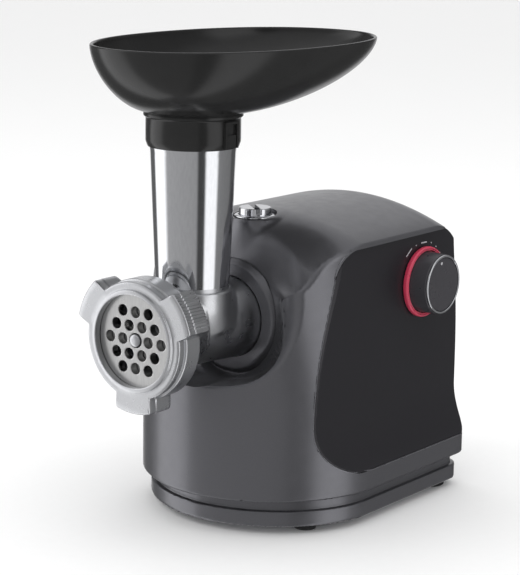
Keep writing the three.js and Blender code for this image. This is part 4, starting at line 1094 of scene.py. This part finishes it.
class BuildCasting(bpy.types.Operator):
    """Cast barrel with its feed tube"""

    bl_idname = "grinder.casting"
    bl_label = "Head casting"

    def execute(self, context):
        def above(x, y, z):
            return np.maximum(TUBE_FOOT - z, np.hypot(x, y - TUBE_Y) - 28.5)

        def barrel(x, y, z):
            return np.maximum(casting_field(x, y, z), -above(x, y, z))

        def tube(x, y, z):
            return np.maximum(casting_field(x, y, z), above(x, y, z))

        lower = contoured("head_barrel", barrel, (-37, -2, -37), (37, 112, 37), 1.1,
                          MATERIALS["blasted_cast_aluminium"])
        kept(lower, "head", "head_polished", "head_casting")
        upper = contoured("feed_tube", tube, (-31, 22, TUBE_FOOT - 3), (31, 84, 131), 1.2,
                          MATERIALS["buffed_cast_aluminium"])
        kept(upper, "head", "head_polished")
        return {"FINISHED"}


def plate_field(x, y, z):
    plate = both(np.hypot(x, z) - PLATE_RADIUS, between(y, 0, PLATE_THICKNESS), 0.5)
    for row in range(-2, 3):
        count = 5 - abs(row)
        for i in range(count):
            hole_x = HOLE_PITCH * (i - (count - 1) / 2)
            hole_z = HOLE_PITCH * row * math.sqrt(3) / 2
            radius = PIN_HOLE if row == 0 and hole_x == 0 else HOLE_RADIUS
            plate = both(plate, radius - np.hypot(x - hole_x, z - hole_z), 0.3)
    return np.maximum(plate, -np.maximum(np.abs(x) - 2, PLATE_RADIUS - 2 - z))


class BuildPlate(bpy.types.Operator):
    """Ground steel hole plate"""

    bl_idname = "grinder.plate"
    bl_label = "Hole plate"

    def execute(self, context):
        reach = PLATE_RADIUS + 1.5
        plate = contoured("mincing_plate", plate_field, (-reach, -1.2, -reach),
                          (reach, PLATE_THICKNESS + 1.2, reach), 0.55, MATERIALS["ground_steel"])
        kept(plate, "head", "steel", "hole_plate")
        return {"FINISHED"}


class BuildRingNut(bpy.types.Operator):
    """Ring nut with three ridged grips"""

    bl_idname = "grinder.ring_nut"
    bl_label = "Ring nut"

    def execute(self, context):
        angles = np.linspace(0, 2 * math.pi, 1080, endpoint=False)
        third = (np.degrees(angles) - 30) % 120
        off = np.minimum(third, 120 - third)
        t = np.clip((off - 16.5) / 5.5, 0, 1)
        lift = 1 - t * t * (3 - 2 * t)
        grip = np.clip((15.5 - off) / 1.0, 0, 1)
        ridge = grip * (0.5 + 0.5 * np.cos(2 * math.pi * off / math.degrees(sizes().ridge_pitch)))
        depth = sizes().ridge_depth / MM
        band = RING_RADIUS + (GRIP_RADIUS - RING_RADIUS) * lift
        front = 36.0 + (45.0 - 36.0) * lift
        # each station: (radius on every angle, y)
        one = np.ones_like(angles)
        thread = CUP_RADIUS + GAP
        lip = [(thread, 16.4), (thread, -0.4), (RING_OPENING, -0.4), (RING_OPENING, -3.9),
               (28.65, -4.3), (29.0, -4.5), (30.6, -4.5), (31.0, -4.3), (31.2, -3.9), (31.3, -3.3),
               (31.6, -2.9), (32.1, -2.8)]
        stations = [(radius * one, y) for radius, y in lip]
        for share in (0.25, 0.5, 0.75):
            stations.append((32.1 + (front - 1.1 - 32.1) * share, -2.8))
        stations += [(front - 1.1, -2.8), (front - 0.7, -2.7), (front - 0.25, -2.3), (front, -1.7),
                     (front, -0.6), (front, 1.8)]
        stations += [(front - (0.5 - 0.5 * lift), 2.2), (front - (0.6 - 0.6 * lift), 3.0)]
        stations += [(band - 0.3, 3.5), (band, 4.0)]
        for y in np.linspace(4.6, 15.4, 10):
            stations.append((band, y))
        stations += [(band - 0.15, 15.9), (band - 0.5, 16.5), (band - 1.0, 16.9),
                     (34.9 * one, RING_REAR), (34.5 * one, 16.8)]
        rings = []
        for radius, y in stations:
            ridged = np.where(radius > 38, ridge, 0) * depth * float(-0.8 < y < 16)
            reach = radius - ridged
            rings.append(np.stack([reach * np.cos(angles), np.full_like(angles, y),
                                   reach * np.sin(angles)], 1))
        nut = meshed("ring_nut_casting", [skin(rings, loop=True)],
                     MATERIALS["blasted_cast_aluminium"], crease=28)
        kept(nut, "ring_nut", "cast_metal", "ring_nut")
        return {"FINISHED"}


class BuildAuger(bpy.types.Operator):
    """Feed screw with its journal, drive end and the pin that centres the plate"""

    bl_idname = "grinder.auger"
    bl_label = "Auger"

    def execute(self, context):
        flank = [0.52, 0.6, 0.7, 0.9, 1.15, 1.5, 1.9, 2.3]
        angles = np.array([-a for a in reversed(flank)] + [-0.3, 0, 0.3] + flank + [2.75, 3.14, 3.55])
        radii = np.interp(np.abs(angles), flank + [3.6],
                          [AUGER_RADIUS, 19.2, 17.4, 13.9, 11.6, 10.4, 9.8, AUGER_CORE, AUGER_CORE])
        rings = []
        for y in np.linspace(AUGER_FRONT, AUGER_REAR, 150):
            turned = angles - 2 * math.pi * (y - AUGER_FRONT) / AUGER_PITCH
            rings.append(np.stack([radii * np.cos(turned), np.full_like(angles, y),
                                   radii * np.sin(turned)], 1))
        journal = [(0, 85, 0), (9, 85, 0), (9, AUGER_REAR, 0), (10.6, AUGER_REAR, 0.3),
                   (10.6, 99, 0.3), (0, 99, 0)]
        pin = [(0, -2.0, 0), (2.2, -2.0, 1.2), (3.95, -1.2, 1.0), (4, 6, 0), (0, 6, 0)]
        square = lathe("y", [(0, 5.4, 0), (5.6, 5.4, 0), (5.6, 20, 0), (0, 20, 0)], (0, 0), 4)
        drive = lathe("y", [(0, 98, 0), (7.6, 98, 0), (7.6, 112, 0), (0, 112, 0)], (0, 0), 6)
        auger = meshed("feed_screw", [skin(rings), lathe("y", journal, (0, 0), 64),
                                      lathe("y", pin, (0, 0), 48), square, drive],
                       MATERIALS["blasted_cast_aluminium"])
        kept(auger, "drive", "cast_metal", "auger")
        return {"FINISHED"}


# ------------------------------------------------------------------ hopper tray


def power(value, n):
    return np.sign(value) * np.abs(value) ** (2 / n)


def tray_ring(y, half_length, half_width, roundness, z):
    angle = np.linspace(0, 2 * math.pi, 144, endpoint=False)
    return np.stack([half_width * power(np.sin(angle), roundness),
                     y + half_length * power(np.cos(angle), roundness), np.full_like(angle, z)], 1)


def bowl_ring(t, wall):
    """Ring of the bowl at a share of the way from its foot to its rim, moved in by a wall."""
    angle = t * math.pi / 2
    out, down = math.sin(angle) ** (2 / BOWL_POWER), math.cos(angle) ** (2 / BOWL_POWER)
    back = wall * math.sin(angle)
    return tray_ring(TUBE_Y + (TRAY_Y - TUBE_Y) * out,
                     COLLAR_RADIUS + (TRAY_HALF_LENGTH - COLLAR_RADIUS) * out - back,
                     COLLAR_RADIUS + (TRAY_HALF_WIDTH - COLLAR_RADIUS) * out - back,
                     2 + 0.15 * out, TRAY_RIM - TRAY_DEPTH * down + wall * math.cos(angle))


class BuildTray(bpy.types.Operator):
    """Hopper tray: an oval bowl on a collar that drops over the feed tube"""

    bl_idname = "grinder.tray"
    bl_label = "Hopper tray"

    def execute(self, context):
        wall = sizes().tray_wall / MM

        def round_rings(pairs):
            return [tray_ring(TUBE_Y, radius, radius, 2, z) for radius, z in pairs]

        outside = round_rings([
            (27.3, 112.0), (27.7, 112.1), (28.0, 112.5), (28.9, 115.2), (COLLAR_RADIUS, 116),
            (COLLAR_RADIUS, 122), (COLLAR_RADIUS, 129.3), (29.25, 130.0), (29.8, 130.4),
            (30.3, 130.8), (30.4, 131.4), (30.3, 132.1), (30.0, 132.7)])
        # closely spaced near the foot, where the bowl turns fastest
        shares = [0.10, 0.13, 0.16] + list(np.linspace(0.2, 0.985, 40))
        rim = [bowl_ring(0.992, 0.05), bowl_ring(1.0, 0.45), bowl_ring(1.0, 0.8)]
        rim[1][:, 2] += 0.35
        rim[2][:, 2] += 0.5
        edge = [bowl_ring(1.0, wall - 0.8), bowl_ring(1.0, wall - 0.3)]
        edge[0][:, 2] += 0.5
        edge[1][:, 2] += 0.2
        inside = [bowl_ring(t, wall) for t in reversed(shares)]
        throat = round_rings([(25.0, 135.2), (24.3, 134.9), (23.5, 134.2), (23.2, 133.2),
                              (23.2, 128.4), (27.1, 128.4), (27.1, 112.2)])
        bowl = skin(outside + [bowl_ring(t, 0) for t in shares] + rim + edge + inside + throat,
                    loop=True)
        # a catch on each side of the collar: two posts, a bridge over them and a tongue between
        catches = []
        for side in (1, -1):
            for out, front, back, low, high in (
                (30.3, -6, -4.6, 113, 129), (30.3, 4.6, 6, 113, 129),
                (30.3, -4.6, 4.6, 127.6, 129), (29.9, -4.0, 4.0, 113.2, 121),
            ):
                near, far = sorted((side * 28, side * out))
                catches.append(bar(near, far, TUBE_Y + front, TUBE_Y + back, low, high))
        tray = meshed("hopper_tray", [bowl] + catches, MATERIALS["gloss_moulded_abs"])
        kept(tray, "tray", "tray_black", "tray")
        return {"FINISHED"}


# ------------------------------------------------------------------ stage


def lamp(name, place, target, size, power_, spread=math.pi):
    """A rectangular soft light aimed at a point."""
    data = bpy.data.lights.new(name, "AREA")
    data.shape = "RECTANGLE"
    data.size, data.size_y = size
    data.energy = power_
    data.spread = spread
    light = bpy.data.objects.new(name, data)
    bpy.context.scene.collection.objects.link(light)
    light.location = place
    light.visible_glossy = False
    light.rotation_euler = (Vector(target) - Vector(place)).to_track_quat("-Z", "Y").to_euler()
    return light


# Brightness of the surround that gloss reflects, by its bearing from the front of the room, in
# degrees to the right: white softboxes left and right, and dark flags that draw edges on metal.
SURROUND = ((-180, 0.75), (-162, 0.75), (-156, 0.14), (-126, 0.14), (-120, 1.55), (-84, 1.55),
            (-74, 0.44), (12, 0.36), (18, 0.07), (34, 0.07), (40, 1.35), (70, 1.35), (77, 0.26),
            (124, 0.2), (130, 0.1), (156, 0.1), (162, 0.75), (180, 0.75))
FRONT_BEARING = math.radians(CAMERA_AZIMUTH - 90)


def studio_light(tree):
    """An even white surround, with softboxes and flags that only reflections see."""
    shown = tree.nodes["Background"]
    way = add(tree, "ShaderNodeTexCoord").outputs["Generated"]
    parts = add(tree, "ShaderNodeSeparateXYZ", {0: way}).outputs
    bearing = add(tree, "ShaderNodeMath", {0: parts[1], 1: parts[0]}, operation="ARCTAN2").outputs[0]
    turned = add(
        tree, "ShaderNodeMath", {0: bearing, 1: FRONT_BEARING}, operation="SUBTRACT"
    ).outputs[0]
    wrapped = add(
        tree, "ShaderNodeMath", {0: turned, 1: math.pi, 2: -math.pi}, operation="WRAP"
    ).outputs[0]
    share = add(
        tree, "ShaderNodeMapRange", {"Value": wrapped, "From Min": -math.pi, "From Max": math.pi}
    ).outputs[0]
    ramp = add(tree, "ShaderNodeValToRGB", {"Fac": share})
    stops = ramp.color_ramp.elements
    for degrees, level in SURROUND[1:-1]:
        stops.new(0.5 + degrees / 360)
    for stop, (degrees, level) in zip(stops, SURROUND):
        stop.position = 0.5 + degrees / 360
        stop.color = (level, level, level * 1.01, 1)
    high = add(
        tree, "ShaderNodeMapRange", {"Value": parts[2], "From Min": 0.5, "From Max": 0.8}
    ).outputs[0]
    glossy = add(
        tree, "ShaderNodeMix", {"Factor": high, "A": ramp.outputs[0], "B": (0.62, 0.62, 0.63, 1)},
        data_type="RGBA",
    )
    ray = add(tree, "ShaderNodeLightPath").outputs["Is Glossy Ray"]
    seen = add(
        tree, "ShaderNodeMix",
        {"Factor": ray, "A": (1.0, 1.0, 1.0, 1), "B": glossy.outputs["Result"]}, data_type="RGBA",
    )
    tree.links.new(seen.outputs["Result"], shown.inputs["Color"])


class BuildStage(bpy.types.Operator):
    """Pale floor, soft studio light and the camera"""

    bl_idname = "grinder.stage"
    bl_label = "Stage"

    def execute(self, context):
        mesh = bpy.data.meshes.new("studio_floor")
        reach = 20.0
        mesh.from_pydata([(-reach, -reach, 0), (reach, -reach, 0), (reach, reach, 0),
                          (-reach, reach, 0)], [], [(0, 1, 2, 3)])
        mesh.materials.append(MATERIALS["painted_board"])
        ground = new_object("studio_floor", mesh)
        # reflections see the softboxes and flags of the surround all the way down
        ground.visible_glossy = False
        world = bpy.data.worlds.new("studio")
        context.scene.world = world
        world.use_nodes = True
        studio_light(world.node_tree)
        world.cycles.sampling_method = "NONE"
        heart = (0, 0, 0.15)
        lamp("left_softbox", (-1.3, -1.2, 1.3), heart, (1.0, 1.4), 9)
        lamp("top_softbox", (0.1, 0.1, 1.9), heart, (1.3, 1.3), 9)
        data = bpy.data.cameras.new("view")
        data.sensor_width = 36
        data.lens = 125.2
        data.clip_start, data.clip_end = 0.05, 60
        camera = bpy.data.objects.new("view", data)
        context.scene.collection.objects.link(camera)
        azimuth = math.radians(CAMERA_AZIMUTH)
        elevation = math.radians(CAMERA_ELEVATION)
        roll = math.radians(CAMERA_ROLL)
        back = Vector((math.sin(azimuth) * math.cos(elevation),
                       -math.cos(azimuth) * math.cos(elevation), math.sin(elevation)))
        level = Vector((math.cos(azimuth), math.sin(azimuth), 0))
        up = back.cross(level)
        right = level * math.cos(roll) + up * math.sin(roll)
        up = back.cross(right)
        turned = Matrix((right, up, back)).transposed().to_4x4()
        turned.translation = placed((766.8, -875.9, 281.3))
        camera.matrix_world = turned
        context.scene.camera = camera
        context.scene.view_settings.view_transform = "Standard"
        return {"FINISHED"}


# ------------------------------------------------------------------ add-on

OPERATORS = (PaintInnerParts, BuildShell, BuildPanels, BuildBase, BuildRear, BuildButton, BuildKnob,
             BuildSocket, BuildCasting, BuildPlate, BuildRingNut, BuildAuger, BuildTray, BuildStage)


class GrinderPanel(bpy.types.Panel):
    """Sizes, colours and the building steps"""

    bl_label = "Meat grinder"
    bl_idname = "VIEW3D_PT_grinder"
    bl_space_type = "VIEW_3D"
    bl_region_type = "UI"
    bl_category = "Grinder"

    def draw(self, context):
        for group in (context.scene.grinder_sizes, context.scene.grinder_colours):
            box = self.layout.box()
            for name in group.__annotations__:
                box.prop(group, name)
        for operator in OPERATORS:
            self.layout.operator(operator.bl_idname)


CLASSES = (GrinderSizes, GrinderColours) + OPERATORS + (GrinderPanel,)


def register():
    for kind in CLASSES:
        bpy.utils.register_class(kind)
    bpy.types.Scene.grinder_sizes = bpy.props.PointerProperty(type=GrinderSizes)
    bpy.types.Scene.grinder_colours = bpy.props.PointerProperty(type=GrinderColours)


def unregister():
    del bpy.types.Scene.grinder_colours
    del bpy.types.Scene.grinder_sizes
    for kind in reversed(CLASSES):
        bpy.utils.unregister_class(kind)


def main():
    register()
    for operator in OPERATORS:
        group, step = operator.bl_idname.split(".")
        getattr(getattr(bpy.ops, group), step)()


if __name__ == "__main__":
    main()
